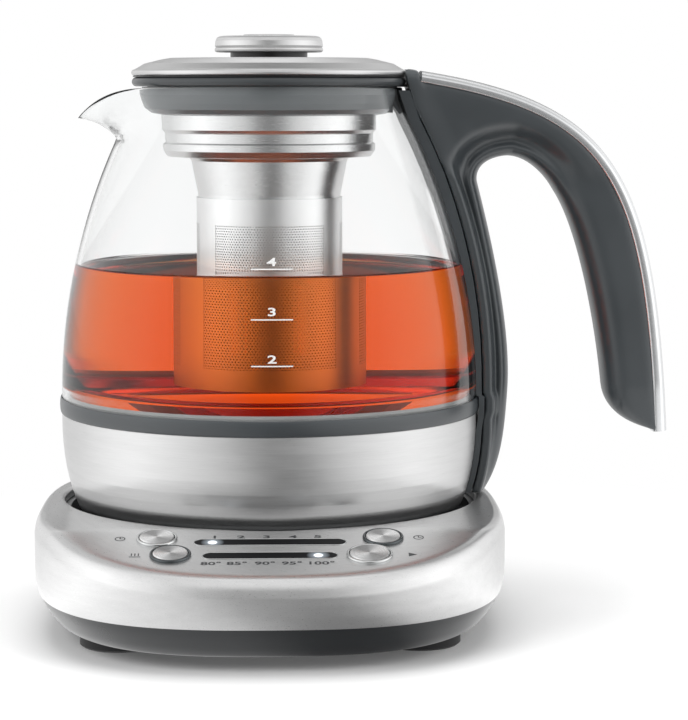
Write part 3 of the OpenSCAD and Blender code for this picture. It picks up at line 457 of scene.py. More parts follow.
# ---------------------------------------------------------------- jug of glass and tea
GLASS_WALL = 2.0
MOUTH_R, MOUTH_Z = 50.9, 200.4
BELLY_R, GLASS_Z = 80.1, 80.0
NECK = np.array([54.0, 189.8])
SPOUT_HALF, TIP_SOFT, SPOUT_LOW, SPOUT_REACH, SPOUT_DROP = 46.0, 5.0, 19.4, 22.5, 11.7
LIP_FLAT = 0.45               # height of the rounded lip, as a share of half its width
TEA_TOP, TEA_COLOUR, TEA_DENSITY, TEA_STEPS = 132.5, (0.962, 0.58, 0.10, 1), 40.0, 200

glass_path = np.concatenate([
    bezier((MOUTH_R, MOUTH_Z), (MOUTH_R, MOUTH_Z - 4), NECK + (-1.9, 3.8), NECK, 16),
    bezier(NECK, NECK + (17.5, -34.4), (BELLY_R + 0.6, 118), (BELLY_R, GLASS_Z), 48, 1)])


def beak(x):
    """How far the spout is drawn out, 1 at its tip (0 degrees) and 0 at its sides."""
    full = 1 / math.cos(math.radians(SPOUT_HALF)) - 1
    inside = (1 / np.cos(np.radians(SPOUT_HALF - np.minimum(x, SPOUT_HALF))) - 1) / full
    return np.where(x >= SPOUT_HALF, 0, inside)


def glass_ring(point, angles):
    """A ring of the glass, drawn outward and down where the spout is."""
    r, z = point
    h = min(1, max(0, (z - MOUTH_Z + SPOUT_LOW) / SPOUT_LOW))
    s = beak(np.sqrt((angles - 180) ** 2 + TIP_SOFT ** 2) - TIP_SOFT)
    rr = r + SPOUT_REACH * s * h
    a = np.radians(angles)
    return np.stack([rr * np.cos(a), rr * np.sin(a), z - SPOUT_DROP * s ** 2.3 * h ** 1.4], 1)


def make_glass():
    angles = np.concatenate([np.arange(0, 130, 2), np.arange(130, 230, 1), np.arange(230, 360, 2)])
    outer = glass_path[::-1]
    inner = offset_path(glass_path, -GLASS_WALL)
    inner[:, 1] = np.minimum(inner[:, 1], MOUTH_Z)
    # The lip is rounded over between the outer and the inner edge
    mid = (outer[-1] + inner[0]) / 2
    half = (outer[-1][0] - inner[0][0]) / 2
    drop = LIP_FLAT * half
    lip = [mid + half * np.array([math.cos(t), LIP_FLAT * math.sin(t)]) - (0, drop)
           for t in np.radians([30, 60, 90, 120, 150])]
    outer = outer.copy()
    outer[-1][1] -= drop
    inner[0][1] -= drop
    path = [*outer, *lip, *inner]
    verts, faces = skin([glass_ring(p, angles) for p in path], closed=True)
    obj = add_object("glass_body", row(verts), faces, GLASS, "jug", 60)
    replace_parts(obj, "glass_jug")
    obj.visible_shadow = False


def make_tea():
    p = Paint("black tea", Base_Color=(1, 1, 1, 1), Roughness=0.0, IOR=1.33, Transmission_Weight=1.0,
              Specular_Tint=(0.08, 0.08, 0.08, 1))
    absorb = p.node("ShaderNodeVolumeAbsorption", Color=TEA_COLOUR, Density=TEA_DENSITY)
    out = p.tree.nodes["Material Output"]
    p.tree.links.new(absorb.outputs[0], out.inputs["Volume"])
    floor = node_top("heater_plate") - 2.0
    inner = offset_path(glass_path, -GLASS_WALL + 0.15)
    wall = [q for q in inner[::-1] if floor + 6 < q[1] < TEA_TOP - 1.2]
    r_top = float(np.interp(TEA_TOP, inner[::-1, 1], inner[::-1, 0]))
    r_low = BELLY_R - GLASS_WALL - 4.2
    foot_z = node_foot("heater_plate") + 1.5
    meniscus = [(r_top + 0.02, TEA_TOP + 1.0), (r_top - 0.35, TEA_TOP + 0.45), (r_top - 1.0, TEA_TOP + 0.12),
                (r_top - 2.2, TEA_TOP)]
    profile = [(0.01, foot_z), (r_low - 2, foot_z), (r_low, foot_z + 0.4), *[tuple(q) for q in wall],
               *meniscus, (r_top * 0.6, TEA_TOP), (0.01, TEA_TOP)]
    verts, faces = revolve(profile, TEA_STEPS, closed=False)
    faces += [tuple(range(TEA_STEPS)), tuple(len(verts) - TEA_STEPS + i for i in range(TEA_STEPS))]
    obj = add_object("tea", row(verts), faces, p.material, "jug", 50)
    obj.visible_shadow = False


make_glass()
make_tea()

# ---------------------------------------------------------------- power base
BASE_W = 2 * abs(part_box("base_shell")[0].x - AXIS.x) / MM
FRONT_Y = (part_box("base_shell")[0].y - AXIS.y) / MM
REAR_Y = (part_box("base_shell")[1].y - AXIS.y) / MM
SQUARE = 2.7
RIM_R, RIM_Z, SEAM_Z, FOOT_H = 79.4, node_top("base_shell"), node_foot("base_shell"), 5.0
SLOPE = math.radians(12)
BEND = 4.0                    # length of the bend from the level top to the slope
LAND = 3.4                    # inset where the top surface starts


def plan(inset, n=360):
    """The base's outline, drawn in by an inset."""
    a = np.arange(n) * 2 * math.pi / n
    c, s = np.cos(a), np.sin(a)
    x = (BASE_W / 2 - inset) * np.sign(c) * np.abs(c) ** (2 / SQUARE)
    y = ((REAR_Y - FRONT_Y) / 2 - inset) * np.sign(s) * np.abs(s) ** (2 / SQUARE) + (REAR_Y + FRONT_Y) / 2
    return np.stack([x, y], 1)


def top_z(y):
    u = -y - RIM_R + BEND / 2
    drop = np.where(u <= 0, 0, np.where(u < BEND, u * u / (2 * BEND), u - BEND / 2))
    return RIM_Z - math.tan(SLOPE) * drop


def ring_at(inset, z):
    p = plan(inset)
    return np.column_stack([p, np.full(len(p), z)])


def ring_below(inset, depth):
    p = plan(inset)
    return np.column_stack([p, top_z(p[:, 1]) - depth])


def rim_at(r, depth, n=360):
    a = np.arange(n) * 2 * math.pi / n
    y = r * np.sin(a)
    return np.column_stack([r * np.cos(a), y, top_z(y) - depth])


def on_panel(points, x, y):
    """Points about a place on the sloped panel, z square to it."""
    p = np.asarray(points, float)
    up = np.array([0, -math.sin(SLOPE), math.cos(SLOPE)])
    down = np.array([0, math.cos(SLOPE), math.sin(SLOPE)])
    at = np.array([x, y, RIM_Z - math.tan(SLOPE) * (-y - RIM_R)])
    return at + p[:, :1] * np.array([1, 0, 0]) + p[:, 1:2] * down + p[:, 2:3] * up


def rod(outline, low, high):
    """A straight solid over an outline."""
    o = np.asarray(outline, float)
    return skin([np.column_stack([o, np.full(len(o), z)]) for z in (low, high)])


def disc(r, n=48):
    a = np.arange(n) * 2 * math.pi / n
    return np.stack([r * np.cos(a), r * np.sin(a)], 1)


def slot_outline(length, width, n=16):
    a = np.radians(np.linspace(-90, 90, n))
    end = np.stack([np.cos(a), np.sin(a)], 1) * width / 2
    right = end + ((length - width) / 2, 0)
    return np.concatenate([right, -right])


def centre_of(node):
    lo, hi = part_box(node)
    return (lo.x + hi.x) / 2 / MM - AXIS.x / MM, (lo.y + hi.y) / 2 / MM - AXIS.y / MM


# Places on the panel: x, y and radius of the buttons, then y, length and width of the windows
BUTTONS = {"time": (-40.0, -87.4, 6.15), "timer": (40.0, -87.4, 6.15),
           "warm": (-34.7, -101.6, 6.15), "start": (34.7, -102.4, 7.0)}
WINDOWS = {"time": (-90.8, 53.6, 5.6), "temperature": (-102.6, 47.0, 5.6)}
STEEL_T = 1.2
RIM_BEND = 1.6                # radius of the rounding at the edge of the well
FOOT_PLACES = [(x, y) for x in (-42, 42) for y in (-42, 42)]
GLAND_R = 4.45


def make_shell():
    """The steel shell: wall, shoulder, sloped top and the turned-in edge of the well."""
    edge = spline([(-1, 0, 1.5), (0, 1.2, 0), (1, 0.3, 0.42), (2, 0, 1)], 6)
    rings = [ring_at(i, SEAM_Z + (25 - SEAM_Z) * t) for _, i, t in edge[6:]]
    wall = rings[-1]
    bend = spline([(0.0, 6.2), (0.5, 3.6), (1.35, 1.6), (2.3, 0.55), (LAND + 0.6, 0.02)], 5)
    shoulder = [ring_below(i, d) for i, d in bend]
    # Between wall and shoulder the sides run nearly straight up
    for t in (0.2, 0.4, 0.6, 0.8):
        rings.append(wall + (shoulder[0] - wall) * t)
    rings += shoulder
    land, rim = plan(LAND + 0.6), disc(RIM_R + RIM_BEND, 360)
    for t in np.arange(1, 15) / 14:
        p = land + (rim - land) * t
        rings.append(np.column_stack([p, top_z(p[:, 1])]))
    rings += [rim_at(RIM_R + RIM_BEND * (1 - math.sin(a)), RIM_BEND * (1 - math.cos(a)))
              for a in np.radians([20, 40, 60, 80, 90])]
    rings += [rim_at(RIM_R, 3.5), rim_at(RIM_R + 1, 3.5), rim_at(RIM_R + 1.2, STEEL_T + 1)]
    rings += [ring_below(LAND + 2, STEEL_T), ring_below(STEEL_T + 1.6, STEEL_T + 3)]
    rings += [ring_at(STEEL_T, 25), ring_at(STEEL_T + 1.2, SEAM_Z)]
    verts, faces = skin(rings, closed=True)
    shell = loose("shell", row(verts), faces)
    cutters = []
    for x, y, r in BUTTONS.values():
        v, f = rod(disc(r + 0.4), -6, 6)
        cutters.append(loose("hole", row(on_panel(v, x, y)), f))
    for y, length, width in WINDOWS.values():
        v, f = rod(slot_outline(length, width), -6, 6)
        cutters.append(loose("hole", row(on_panel(v, 0, y)), f))
    cut(shell, cutters)
    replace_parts(finished(shell, "steel_shell", STEEL_SHELL, "power_base", 30), "base_shell")


def make_housing():
    """The moulded lower housing, with the sinks of the feet and the hole of the gland."""
    side = spline([(FOOT_H, 12), (5.7, 9.2), (8, 6.6), (11, 4.4), (14, 2.6), (16.8, 1.35)], 6)
    rings = [ring_at(i, z) for z, i in side]
    rings += [ring_at(2.7, 16.8), ring_at(2.7, 20), ring_at(4.5, 20), ring_at(7.6, 11), ring_at(12, 7.2)]
    verts, faces = skin(rings)
    housing = loose("housing", row(verts), faces)
    cutters = []
    for place in FOOT_PLACES:
        v, f = rod(disc(3.4, 32), -1, 6.2)
        v[:, :2] += place
        cutters.append(loose("hole", row(v), f))
    gx, gy = centre_of("cord_gland")
    v, f = rod(disc(GLAND_R), -8, 12)
    gz = (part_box("cord_gland")[0].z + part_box("cord_gland")[1].z) / 2 / MM
    cutters.append(loose("hole", row(np.stack([v[:, 0] + gx, v[:, 2] + gy, v[:, 1] + gz], 1)), f))
    cut(housing, cutters)
    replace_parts(finished(housing, "housing", HOUSING, "power_base", 40), "base_chassis")


def make_panel_rings():
    """A raised ring around each button, two dark and two light, and a fine bead around each window."""
    half, gap = 0.5, 0.15
    for name, (x, y, r) in BUTTONS.items():
        profile = [(r + gap + half + half * math.cos(a), 0.35 + 0.65 * math.sin(a))
                   for a in np.radians(np.arange(0, 360, 20))]
        v, f = revolve(profile, 96)
        finish = DARK_RING if name in ("timer", "warm") else CHROME
        obj = add_object(f"{name}_ring", row(on_panel(v, x, y)), f, finish, "power_base", 60)
        if name == "time":
            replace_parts(obj, "button_bezels")
    for name, (y, length, width) in WINDOWS.items():
        rings = []
        for a in np.radians(np.arange(0, 360, 45)):
            o = slot_outline(length + 0.5 * math.cos(a) + 0.1, width + 0.5 * math.cos(a) + 0.1)
            rings.append(np.column_stack([o, np.full(len(o), 0.08 + 0.18 * math.sin(a))]))
        v, f = skin(rings, closed=True)
        add_object(f"{name}_bead", row(on_panel(v, 0, y)), f, CHROME, "power_base", 60)


def make_gasket():
    """The lid's seal: a thin black lip that fills the line between lid and basket ring."""
    low, lid = node_top("basket_ring"), node_foot("lid_cap")
    inner, body_r, lip_r = 46.0, node_radius("lid_gasket"), node_radius("basket_ring") - 0.5
    top = node_top("lid_gasket")
    profile = [(inner, low + 0.03), (lip_r, low + 0.03), (lip_r + 0.15, (low + lid) / 2), (lip_r, lid - 0.03),
               (body_r, lid - 0.02), (body_r, top), (inner, top)]
    v, f = revolve(profile)
    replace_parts(add_object("gasket", row(v), f, BLACK, "lid", 40), "lid_gasket")


# ---------------------------------------------------------------- handle
REACH_X, ROOT_Z, GRIP_END = 149.5, 204.8, 69.0
LOOP = np.array([90.0, 174.3])
TURN = np.array([109.3, 161.0])
TAIL = np.array([128.8, 85.6])
THROAT, BELLY = np.array([79.6, 164.9]), np.array([92.1, 84.1])
LIP_HALF, LIP_ROUND = 6.4, 3.2    # how far the lip about the opening stands out, and where its rounding ends
POCKET_SOFT = 0.9
RAIL = 3.8                        # how far the flat rail beside the seat stands out
TRIM_T, TRIM_SUNK, TRIM_OVER = 2.8, 2.2, 0.12


def follow(spans, t):
    """A point along curves joined end to end, each span given as (end t, curve points)."""
    start = 0.0
    for end, c in spans:
        if t <= end or end == spans[-1][0]:
            u = (t - start) / (end - start)
            c = [np.asarray(q, float) for q in c]
            if len(c) == 2:
                return c[0] + (c[1] - c[0]) * u
            v = 1 - u
            return v ** 3 * c[0] + 3 * v ** 2 * u * c[1] + 3 * v * u * u * c[2] + u ** 3 * c[3]
        start = end


GRIP_TOP = [(1.0, [(50.5, ROOT_Z), (130.5, 193.4), (144.0, 168.9), (REACH_X, GRIP_END - 0.5)])]
GRIP_LOW = [
    (0.25, [(60.0, 174.0), LOOP]),
    (0.48, [LOOP, LOOP + (7.9, 0.7), TURN + (-3.8, 7), TURN]),
    (0.94, [TURN, TURN + (9.5, -14), TAIL + (-2.8, 26.4), TAIL]),
    (1.0, [TAIL, TAIL + (1.2, -9.6), (138.0, GRIP_END + 1.5), (147.8, GRIP_END)])]
STRUT = [
    (0.05, [LOOP + (4.0, 13.0), LOOP + (3.4, 0.3)]),
    (0.28, [LOOP + (3.4, 0.3), LOOP + (-4.6, 0.1), THROAT + (-0.5, 6.6), THROAT]),
    (0.66, [THROAT, THROAT + (6, -22.8), BELLY + (1.5, 23.4), BELLY]),
    (1.0, [BELLY, BELLY - (1.1, 18.1), (89.6, 54.5), (82.8, 44.5)])]


def ease(x, low, high):
    """Rises smoothly from 0 to 1 between two values."""
    t = np.clip((x - low) / (high - low), 0, 1)
    return t * t * (3 - 2 * t)


def section(top, low, half, square, nose, n=72):
    """A section across the handle, squarer towards its top than at its lower end."""
    m, h = (top + low) / 2, (top - low) / 2
    out = []
    for a in np.arange(n) * 2 * math.pi / n:
        c, s = math.cos(a), math.sin(a)
        e = square if c > 0 else nose
        u, w = math.copysign(abs(c) ** (2 / e), c), math.copysign(abs(s) ** (2 / e), s)
        out.append((m[0] + h[0] * u, -half * w, m[1] + h[1] * u))
    return out


def half_width(t):
    """Half of the grip's width: it narrows to its middle, and again at its end."""
    return 15.5 + (13.2 - 15.5) * min(1, t / 0.5) - 1.6 * max(0, (t - 0.94) / 0.06)


def press_pocket(obj):
    """Forms a round lip about the opening, and behind it the thumb's pocket, which ends beside the rail."""
    edge = [(follow(STRUT, t), 1.0) for t in np.linspace(1, 0.06, 400)]
    edge += [(follow(GRIP_LOW, t), 1 - ease(t, 0.27, 0.6)) for t in np.linspace(0.26, 0.8, 400)]
    line, strength = np.array([p for p, _ in edge]), np.array([k for _, k in edge])
    verts = np.empty(len(obj.data.vertices) * 3)
    obj.data.vertices.foreach_get("co", verts)
    local = (verts.reshape(-1, 3) - np.array(AXIS)) / MM
    x, y, z = local.T
    q, amount = np.full(len(x), 1e3), np.zeros(len(x))
    near = (x < 135) & (np.abs(y) > 1.5)
    for i in np.nonzero(near)[0]:
        gap = np.hypot(line[:, 0] - x[i], line[:, 1] - z[i])
        q[i] = gap.min()
        weight = np.exp((q[i] - gap) / 2.5)
        amount[i] = (weight * strength).sum() / weight.sum()

    edge_round = np.sqrt(np.clip(1 - (1 - np.clip(q, 0, LIP_ROUND) / LIP_ROUND) ** 2, 0, 1))
    lip = 3 + LIP_HALF * edge_round - 1.6 * ease(q, 3.0, 6.0)
    # Above the throat the pocket runs out into the flank; down the strut only the rail ends it
    top = ease(z, THROAT[1] - 6, LOOP[1] + 4)
    form = lip + (15.5 - lip) * ease(q, 6.0, 14.0) * top
    seat = np.array(seat_line())
    rail = np.interp(z, seat[:, 1], seat[:, 0]) + RAIL
    past = np.hypot(x, y) - rail
    amount = amount * (ease(past, -0.3, 1.6) * (1 - top) + top * ease(past, -3.0, 7.0))
    size = np.abs(y)
    capped = -POCKET_SOFT * np.log(np.exp(-size / POCKET_SOFT) + np.exp(-form / POCKET_SOFT))
    local[:, 1] = np.sign(y) * (size + (np.minimum(capped, size) - size) * amount)
    obj.data.vertices.foreach_set("co", (local * MM + np.array(AXIS)).reshape(-1))
    obj.data.update()
    softened(obj, 5)


def seat_line():
    """The handle's seat against glass, ring and band, from the bottom up, as (radius, height)."""
    body = np.concatenate([glass_path, bezier((80.2, 76.5), (80.5, 60), (77.9, 49), (74.1, 40.3), 12)])[::-1]
    zs = np.linspace(node_foot("handle_spine"), MOUTH_Z - 1.2, 60)
    r = np.interp(zs, body[:, 1], body[:, 0])
    r = np.where((zs > 75.5) & (zs < 83), np.maximum(r, 81.1), r)
    return [(a + 2.3 + 1.9 * min(1, max(0, (z - 90) / 80)), z) for a, z in zip(r, zs)]


def seat_rail(seat):
    """The flat rail on both sides of the seat."""
    rings = []
    for r, z in seat:
        if z < MOUTH_Z - 3:
            a = math.asin((15.5 - 1.6 * ease(z, THROAT[1] - 3, LOOP[1] + 6)) / (r + RAIL))
            turn = np.linspace(-a, a, 17)
            rings.append([*[((r + RAIL) * math.cos(b), (r + RAIL) * math.sin(b), z) for b in turn],
                          *[((r + 0.1) * math.cos(b), (r + 0.1) * math.sin(b), z) for b in turn[::-1]]])
    return skin(rings)


def make_handle():
    ts = np.concatenate([[0, 0.012], np.linspace(0.024, 0.94, 110), np.linspace(0.944, 1, 24)])
    # Under the trim the grip's own top stays square, and lower where the trim hasn't begun
    grip = []
    for t in ts:
        top, low = follow(GRIP_TOP, t) + (0, 2.9 if t < 0.026 else 0), follow(GRIP_LOW, t)
        grip.append(section(top, low, half_width(t), 9, 2.6))
    solids = [skin(grip)]
    strut = []
    for t in np.linspace(1, 0, 90):
        p = follow(STRUT, t)
        strut.append(section(np.array([40.0, p[1]]), p, 15.3, 8, 2.6))
    solids.append(skin(strut))
    seat = seat_line()
    low_r, top_r = seat[0][0] + 0.1, 52.95
    n = 256
    hollow, faces = revolve([(0.01, 20), (low_r, 20), *[(r + 0.1, z) for r, z in seat],
                             (top_r, MOUTH_Z - 1.1), (top_r, 260), (0.01, 260)], n, closed=False)
    faces += [tuple(range(n))[::-1], tuple(len(hollow) - n + i for i in range(n))]
    parts = [cut(loose("part", row(v), f), [loose("seat", row(hollow), faces)]) for v, f in solids]
    v, f = seat_rail(seat)
    parts.append(loose("part", row(v), f))
    handle = merged("handle", parts)
    remeshed(handle, 0.0006, 2)
    press_pocket(handle)
    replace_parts(finished(handle, "handle_body", HANDLE, "jug", 80), "handle_grip")


def make_trim():
    """The satin strip along the grip's top; it thickens towards its end."""
    rings = []
    for t in np.linspace(0.03, 1, 140):
        here = follow(GRIP_TOP, t)
        start = min(t, 0.999)
        d = follow(GRIP_TOP, start + 0.001) - follow(GRIP_TOP, start)
        d /= np.linalg.norm(d)
        out = np.array([-d[1], d[0]])
        thick = TRIM_T * (1 + 0.55 * t)
        rings.append(section(here + out * (thick + 0.1), here - out * TRIM_SUNK, half_width(t) + TRIM_OVER,
                             2.2, 5, n=64))
    v, f = skin(rings)
    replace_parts(add_object("trim_strip", row(v), f, TRIM_METAL, "jug", 40), "handle_trim")


# ---------------------------------------------------------------- tea basket
SLEEVE_R, SLEEVE_T = 28.0, 0.5
SLEEVE_FOOT, SLEEVE_TOP = node_foot("basket_sleeve"), node_top("basket_sleeve")
HOLE_PITCH, HOLE_R = 1.1, 0.29
MESH_FOOT, MESH_TOP = 94.5, 149.2
MESH_TURN = math.radians(96)


def bent(points, r):
    """Flat points (along, outward, up) bent round the sleeve, its front at zero."""
    p = np.asarray(points, float)
    a = p[:, 0] / SLEEVE_R - math.pi / 2
    return np.stack([(r + p[:, 1]) * np.cos(a), (r + p[:, 1]) * np.sin(a), p[:, 2]], 1)


def make_sleeve():
    six = np.radians(np.arange(30, 390, 60))
    star = np.stack([np.cos(six), np.sin(six)], 1)
    cell, hole = star * HOLE_PITCH / math.sqrt(3), star * HOLE_R
    row_h = HOLE_PITCH * math.sqrt(3) / 2
    columns = int(MESH_TURN * SLEEVE_R / HOLE_PITCH)
    rows = int((MESH_TOP - MESH_FOOT) / row_h)
    for k in range(3):
        verts, faces = [], []
        start = k * 2 * math.pi / 3 * SLEEVE_R - columns * HOLE_PITCH / 2
        for j in range(rows):
            for i in range(columns - j % 2):
                at = np.array([start + (i + 0.5 + j % 2 / 2) * HOLE_PITCH, MESH_FOOT + (j + 0.5) * row_h])
                base = len(verts)
                for out, shape in ((0, cell), (0, hole), (-SLEEVE_T, hole)):
                    verts += [(at[0] + x, out, at[1] + z) for x, z in shape]
                for a in range(6):
                    b = (a + 1) % 6
                    faces += [(base + a, base + b, base + 6 + b, base + 6 + a),
                              (base + 6 + a, base + 6 + b, base + 12 + b, base + 12 + a)]
        obj = add_object(f"sleeve_holes_{k}", row(bent(verts, SLEEVE_R)), faces, STEEL_SLEEVE, "tea_basket",
                         30, weld=0.00002)
        if k == 0:
            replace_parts(obj, "basket_sleeve")
    # The plain sheet: bands above and below the holes, and strips between them
    half = columns * HOLE_PITCH / 2 - HOLE_PITCH / 4
    third = 2 * math.pi / 3 * SLEEVE_R
    sheets = [(0, 3 * third, SLEEVE_FOOT, MESH_FOOT + 0.4),
              (0, 3 * third, MESH_FOOT + rows * row_h - 0.2, SLEEVE_TOP)]
    sheets += [(k * third + half, (k + 1) * third - half, MESH_FOOT, MESH_TOP) for k in range(3)]
    verts, faces = [], []
    for x0, x1, z0, z1 in sheets:
        n = max(6, int((x1 - x0) / 1.2))
        rings = [[(x, out, z) for out, z in ((-0.02, z0), (-0.02, z1), (-SLEEVE_T, z1), (-SLEEVE_T, z0))]
                 for x in np.linspace(x0, x1, n)]
        v, f = skin(rings)
        faces += [tuple(i + len(verts) for i in q) for q in f]
        verts += list(v)
    add_object("sleeve_sheet", row(bent(verts, SLEEVE_R)), faces, STEEL_SLEEVE, "tea_basket",
               30)


# ---------------------------------------------------------------- printed figures and marks
def figures(text, size, stretch):
    """The outline mesh of some figures, centred on its place, in millimetres."""
    curve = bpy.data.curves.new("figures", "FONT")
    curve.body, curve.size, curve.align_x, curve.align_y = text, size, "CENTER", "CENTER"
    curve.resolution_u, curve.offset = 4, size * 0.022
    helper = bpy.data.objects.new("figures", curve)
    bpy.context.scene.collection.objects.link(helper)
    mesh = result(helper)
    bpy.data.objects.remove(helper)
    verts = np.array([(v.co.x * stretch, v.co.y) for v in mesh.vertices])
    return verts, [tuple(f.vertices) for f in mesh.polygons]


def printed(name, shapes, wrap, material, body):
    """Flat shapes at their places, wrapped on a surface as one piece."""
    verts, faces = [], []
    for (v, f), (x, y) in shapes:
        faces += [tuple(i + len(verts) for i in q) for q in f]
        verts += [(p[0] + x, p[1] + y) for p in v]
    add_object(name, row(wrap(np.array(verts))), faces, material, body, 60)


def bar(w, h):
    return np.array([(-w / 2, -h / 2), (w / 2, -h / 2), (w / 2, h / 2), (-w / 2, h / 2)]), [(0, 1, 2, 3)]


def long_bar(w, h, n=12):
    """A bar with steps along it, so that it bends with the glass."""
    x = np.linspace(-w / 2, w / 2, n)
    v = np.concatenate([np.column_stack([x, np.full(n, side)]) for side in (-h / 2, h / 2)])
    return v, [(i, i + 1, n + i + 1, n + i) for i in range(n - 1)]


def hoop(r, w, n=24):
    v = np.concatenate([disc(r, n), disc(r - w, n)])
    return v, [(i, (i + 1) % n, n + (i + 1) % n, n + i) for i in range(n)]


def along(y):
    """A place up or down the slope of the panel, from its place as seen from above."""
    return (y - PANEL_Y) / math.cos(SLOPE)


def onto_panel(p):
    return on_panel(np.column_stack([p, np.full(len(p), 0.04)]), 0, PANEL_Y)


def onto_glass(p):
    r = np.interp(p[:, 1], glass_path[::-1, 1], glass_path[::-1, 0]) + 0.06
    a = p[:, 0] / r - math.pi / 2
    return np.stack([r * np.cos(a), r * np.sin(a), p[:, 1]], 1)


# Marks on the panel: across and from front to back; then on the glass, each line's height and its figure's
PANEL_Y = -95
MINUTES_X, MINUTES_Y = (-19.6, -10.3, -1.2, 8.1, 16.9), -86.1
DEGREES_X, DEGREES_Y = (-20.4, -11.4, -1.7, 7.6, 17.6), -109.2
CLOCKS = ((-53, -87.2), (52.6, -87.2))
WARMTH, START = (-47, -101.6), (49.6, -102.2)
LEVEL_X = 0.9
LEVELS = ((136.2, 138.6), (118.5, 121.1), (102.1, 104.4))


def make_panel_marks():
    """Figures, and beside the buttons two clocks, rising warmth and a triangle to start."""
    shapes = [(figures(str(k + 1), 3.3, 1.8), (x, along(MINUTES_Y))) for k, x in enumerate(MINUTES_X)]
    shapes += [(figures(f"{80 + 5 * k}°", 3.6, 1.45), (x, along(DEGREES_Y)))
               for k, x in enumerate(DEGREES_X)]
    for x, y in CLOCKS:
        shapes += [(hoop(1.9, 0.4), (x, along(y))), (bar(0.4, 1.5), (x, along(y) + 0.55)),
                   (bar(1.3, 0.4), (x + 0.45, along(y)))]
    x, y = WARMTH
    shapes.append((bar(4, 0.45), (x, along(y) - 1.5)))
    shapes += [(bar(0.4, 2.2), (x + side, along(y) + 0.4)) for side in (-1.2, 0, 1.2)]
    x, y = START
    shapes.append(((np.array([(-1.3, -1.6), (1.7, 0), (-1.3, 1.6)]), [(0, 1, 2)]), (x, along(y))))
    printed("panel_figures", shapes, onto_panel, INK, "power_base")


def make_level_marks():
    shapes = []
    for k, (line_z, digit_z) in enumerate(LEVELS):
        shapes.append((figures(str(4 - k), 4.0, 1.7), (LEVEL_X, digit_z)))
        shapes.append((long_bar(15, 0.44), (LEVEL_X, line_z)))
    printed("level_marks", shapes, onto_glass, MARK_WHITE, "jug")


make_shell()
make_housing()
make_panel_rings()
make_gasket()
make_handle()
make_trim()
make_sleeve()
make_panel_marks()
make_level_marks()

# ---------------------------------------------------------------- stage, camera and light
FOCAL_PX, IMAGE_LONG = 2415.6, 720
CAMERA_PLACE, CAMERA_PITCH, CAMERA_YAW = (2, -930, 201), 6.48, 1.642
# Brightness around (0 in front, 1 behind) and from level (0) to straight up (1)
WALLS = ((0.0, 0.20), (0.055, 0.26), (0.13, 0.85), (0.24, 1.2), (0.42, 1.75), (0.66, 1.1), (0.78, 1.0),
         (0.93, 1.0))
ROOF = ((0.0, 1.0), (0.35, 1.0), (0.7, 0.7), (0.85, 0.6))
REAR_ROOF = ((0.0, 0.05), (0.2, 0.12), (0.36, 0.85), (0.5, 1.35), (0.64, 0.3), (0.85, 0.25))
THROUGH = ((0.0, 0.9), (0.3, 0.85), (0.5, 0.8), (0.6, 0.5), (0.68, 0.3), (0.78, 0.4), (0.84, 0.9), (0.9, 1.0))
AMBIENT, OVERHEAD = 0.5, 1.0
FLOOR_HALF, FADE_FROM, FADE_TO = 6, 0.15, 0.32
FLOOR_SHARE, FLOOR_GLOW = 0.9, 0.07
# Name, place, size and power of each lamp
LAMPS = (("key", (-0.9, -0.8, 0.9), (0.8, 1.0), 8),
         ("fill", (1.1, -0.7, 0.8), (0.7, 1.0), 6),
         ("top", (0, 0.1, 1.5), (1.2, 1.2), 14))


def make_camera():
    data = bpy.data.cameras.new("camera")
    data.sensor_width = 36
    data.lens = FOCAL_PX / IMAGE_LONG * data.sensor_width
    data.clip_start, data.clip_end = 0.05, 50
    camera = bpy.data.objects.new("camera", data)
    bpy.context.scene.collection.objects.link(camera)
    camera.location = row(CAMERA_PLACE)
    pitch, yaw = math.radians(CAMERA_PITCH), math.radians(CAMERA_YAW)
    forward = Vector((math.sin(yaw) * math.cos(pitch), math.cos(yaw) * math.cos(pitch), -math.sin(pitch)))
    right = Vector((math.cos(yaw), -math.sin(yaw), 0))
    turned = Matrix((right, right.cross(forward), -forward)).transposed().to_4x4()
    camera.matrix_world = Matrix.Translation(camera.location) @ turned
    bpy.context.scene.camera = camera


def area_light(name, place, target, size, power):
    data = bpy.data.lights.new(name, "AREA")
    data.shape = "RECTANGLE"
    data.size, data.size_y = size
    data.energy = power
    lamp = bpy.data.objects.new(name, data)
    lamp.location = place
    lamp.rotation_euler = (Vector(target) - Vector(place)).to_track_quat("-Z", "Y").to_euler()
    bpy.context.scene.collection.objects.link(lamp)
    return lamp


def turn_of(p, x, y):
    """Turn of a direction from straight in front (0) over the sides (0.5) to straight behind (1)."""
    return p.math("DIVIDE", p.math("ABSOLUTE", p.math("ARCTAN2", x, p.math("MULTIPLY", y, -1.0))), math.pi)


def levels(p, value, stops):
    """A brightness over a value; it may pass 1."""
    top = max(v for _, v in stops)
    return p.math("MULTIPLY", p.ramp(value, [(t, (v / top,) * 3) for t, v in stops]), top)


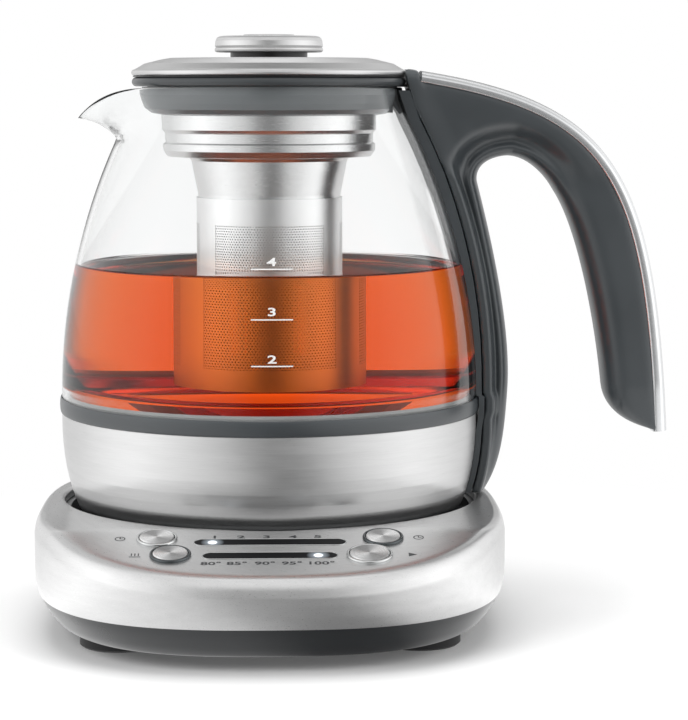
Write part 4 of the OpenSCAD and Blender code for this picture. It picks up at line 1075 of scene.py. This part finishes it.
def make_world():
    """White to the camera; reflections see a dark front between two broad soft walls of light."""
    world = bpy.data.worlds.new("studio")
    bpy.context.scene.world = world
    world.use_nodes = True
    world.cycles.sampling_method = "NONE"
    p = Graph(world.node_tree)
    back = p.tree.nodes["Background"]
    x, y, z = p.axes(p.node("ShaderNodeTexCoord").outputs["Generated"])
    turn = turn_of(p, x, y)
    walls = levels(p, turn, WALLS)
    roof = levels(p, p.between(z, 0.0, 1.0, 0, 1), ROOF)
    rear_roof = levels(p, p.between(z, 0.0, 1.0, 0, 1), REAR_ROOF)
    roof = p.node("ShaderNodeMapRange", i0=turn, i1=0.88, i2=0.95, i3=roof, i4=rear_roof).outputs[0]
    # Above the camera hangs a wide soft light
    above = p.math("MULTIPLY", p.between(z, 0.25, 0.55, 0.0, 0.95), p.between(turn, 0.35, 0.15, 0.0, 1.0))
    studio = p.math("MAXIMUM", p.math("MULTIPLY", walls, roof), above)
    studio = p.math("MAXIMUM", studio, p.between(z, 0.88, 0.98, 0.0, OVERHEAD))
    through = levels(p, turn, THROUGH)
    link_level(p, back, AMBIENT, studio, through, 1.0)
    back.inputs["Color"].default_value = (1, 1, 1, 1)


def link_level(p, shader, scattered, reflected, through, straight):
    """Sets a strength by what kind of ray asks: scattered, reflected, seen through glass or seen straight."""
    seen = p.node("ShaderNodeLightPath")
    level = p.node("ShaderNodeMapRange", i0=seen.outputs["Is Camera Ray"], i3=through, i4=straight).outputs[0]
    level = p.node("ShaderNodeMapRange", i0=seen.outputs["Glossy Depth"], i3=level, i4=reflected).outputs[0]
    level = p.node("ShaderNodeMapRange", i0=seen.outputs["Diffuse Depth"], i3=level, i4=scattered).outputs[0]
    p.plug(shader.inputs["Strength"], level)


def make_floor():
    """White, with the object's soft shadow; it fades into the white background further out."""
    mesh = bpy.data.meshes.new("floor")
    r = FLOOR_HALF
    mesh.from_pydata([(-r, -r, 0), (r, -r, 0), (r, r, 0), (-r, r, 0)], [], [(0, 1, 2, 3)])
    p = Paint("floor white", Base_Color=(0.9, 0.9, 0.9, 1), Roughness=0.7, Specular_IOR_Level=0.2)
    x, y, _ = p.axes(p.place())
    far = p.between(p.length(x, y), FADE_FROM, FADE_TO, 0.0, 1.0)
    white = p.node("ShaderNodeEmission", Color=(1, 1, 1, 1))
    mirrored = p.math("MULTIPLY", levels(p, turn_of(p, x, y), WALLS), FLOOR_SHARE)
    link_level(p, white, AMBIENT, mirrored, levels(p, turn_of(p, x, y), THROUGH), 1.0)
    glow = p.node("ShaderNodeEmission", Color=(1, 1, 1, 1), Strength=FLOOR_GLOW)
    both = p.node("ShaderNodeAddShader", i0=p.shader.outputs[0], i1=glow.outputs[0])
    # Reflections see the studio's light on the floor close by as well
    far = p.math("MAXIMUM", far, p.node("ShaderNodeLightPath").outputs["Is Glossy Ray"])
    mix = p.node("ShaderNodeMixShader", i0=far, i1=both.outputs[0], i2=white.outputs[0])
    p.tree.links.new(mix.outputs[0], p.tree.nodes["Material Output"].inputs["Surface"])
    mesh.materials.append(p.material)
    floor = bpy.data.objects.new("floor", mesh)
    bpy.context.scene.collection.objects.link(floor)


make_camera()
make_world()
make_floor()
for name, place, size, power in LAMPS:
    lamp = area_light(name, place, (0, 0, 0.1), size, power)
    lamp.visible_camera = lamp.visible_glossy = lamp.visible_transmission = False
bpy.context.scene.view_settings.view_transform = "Standard"
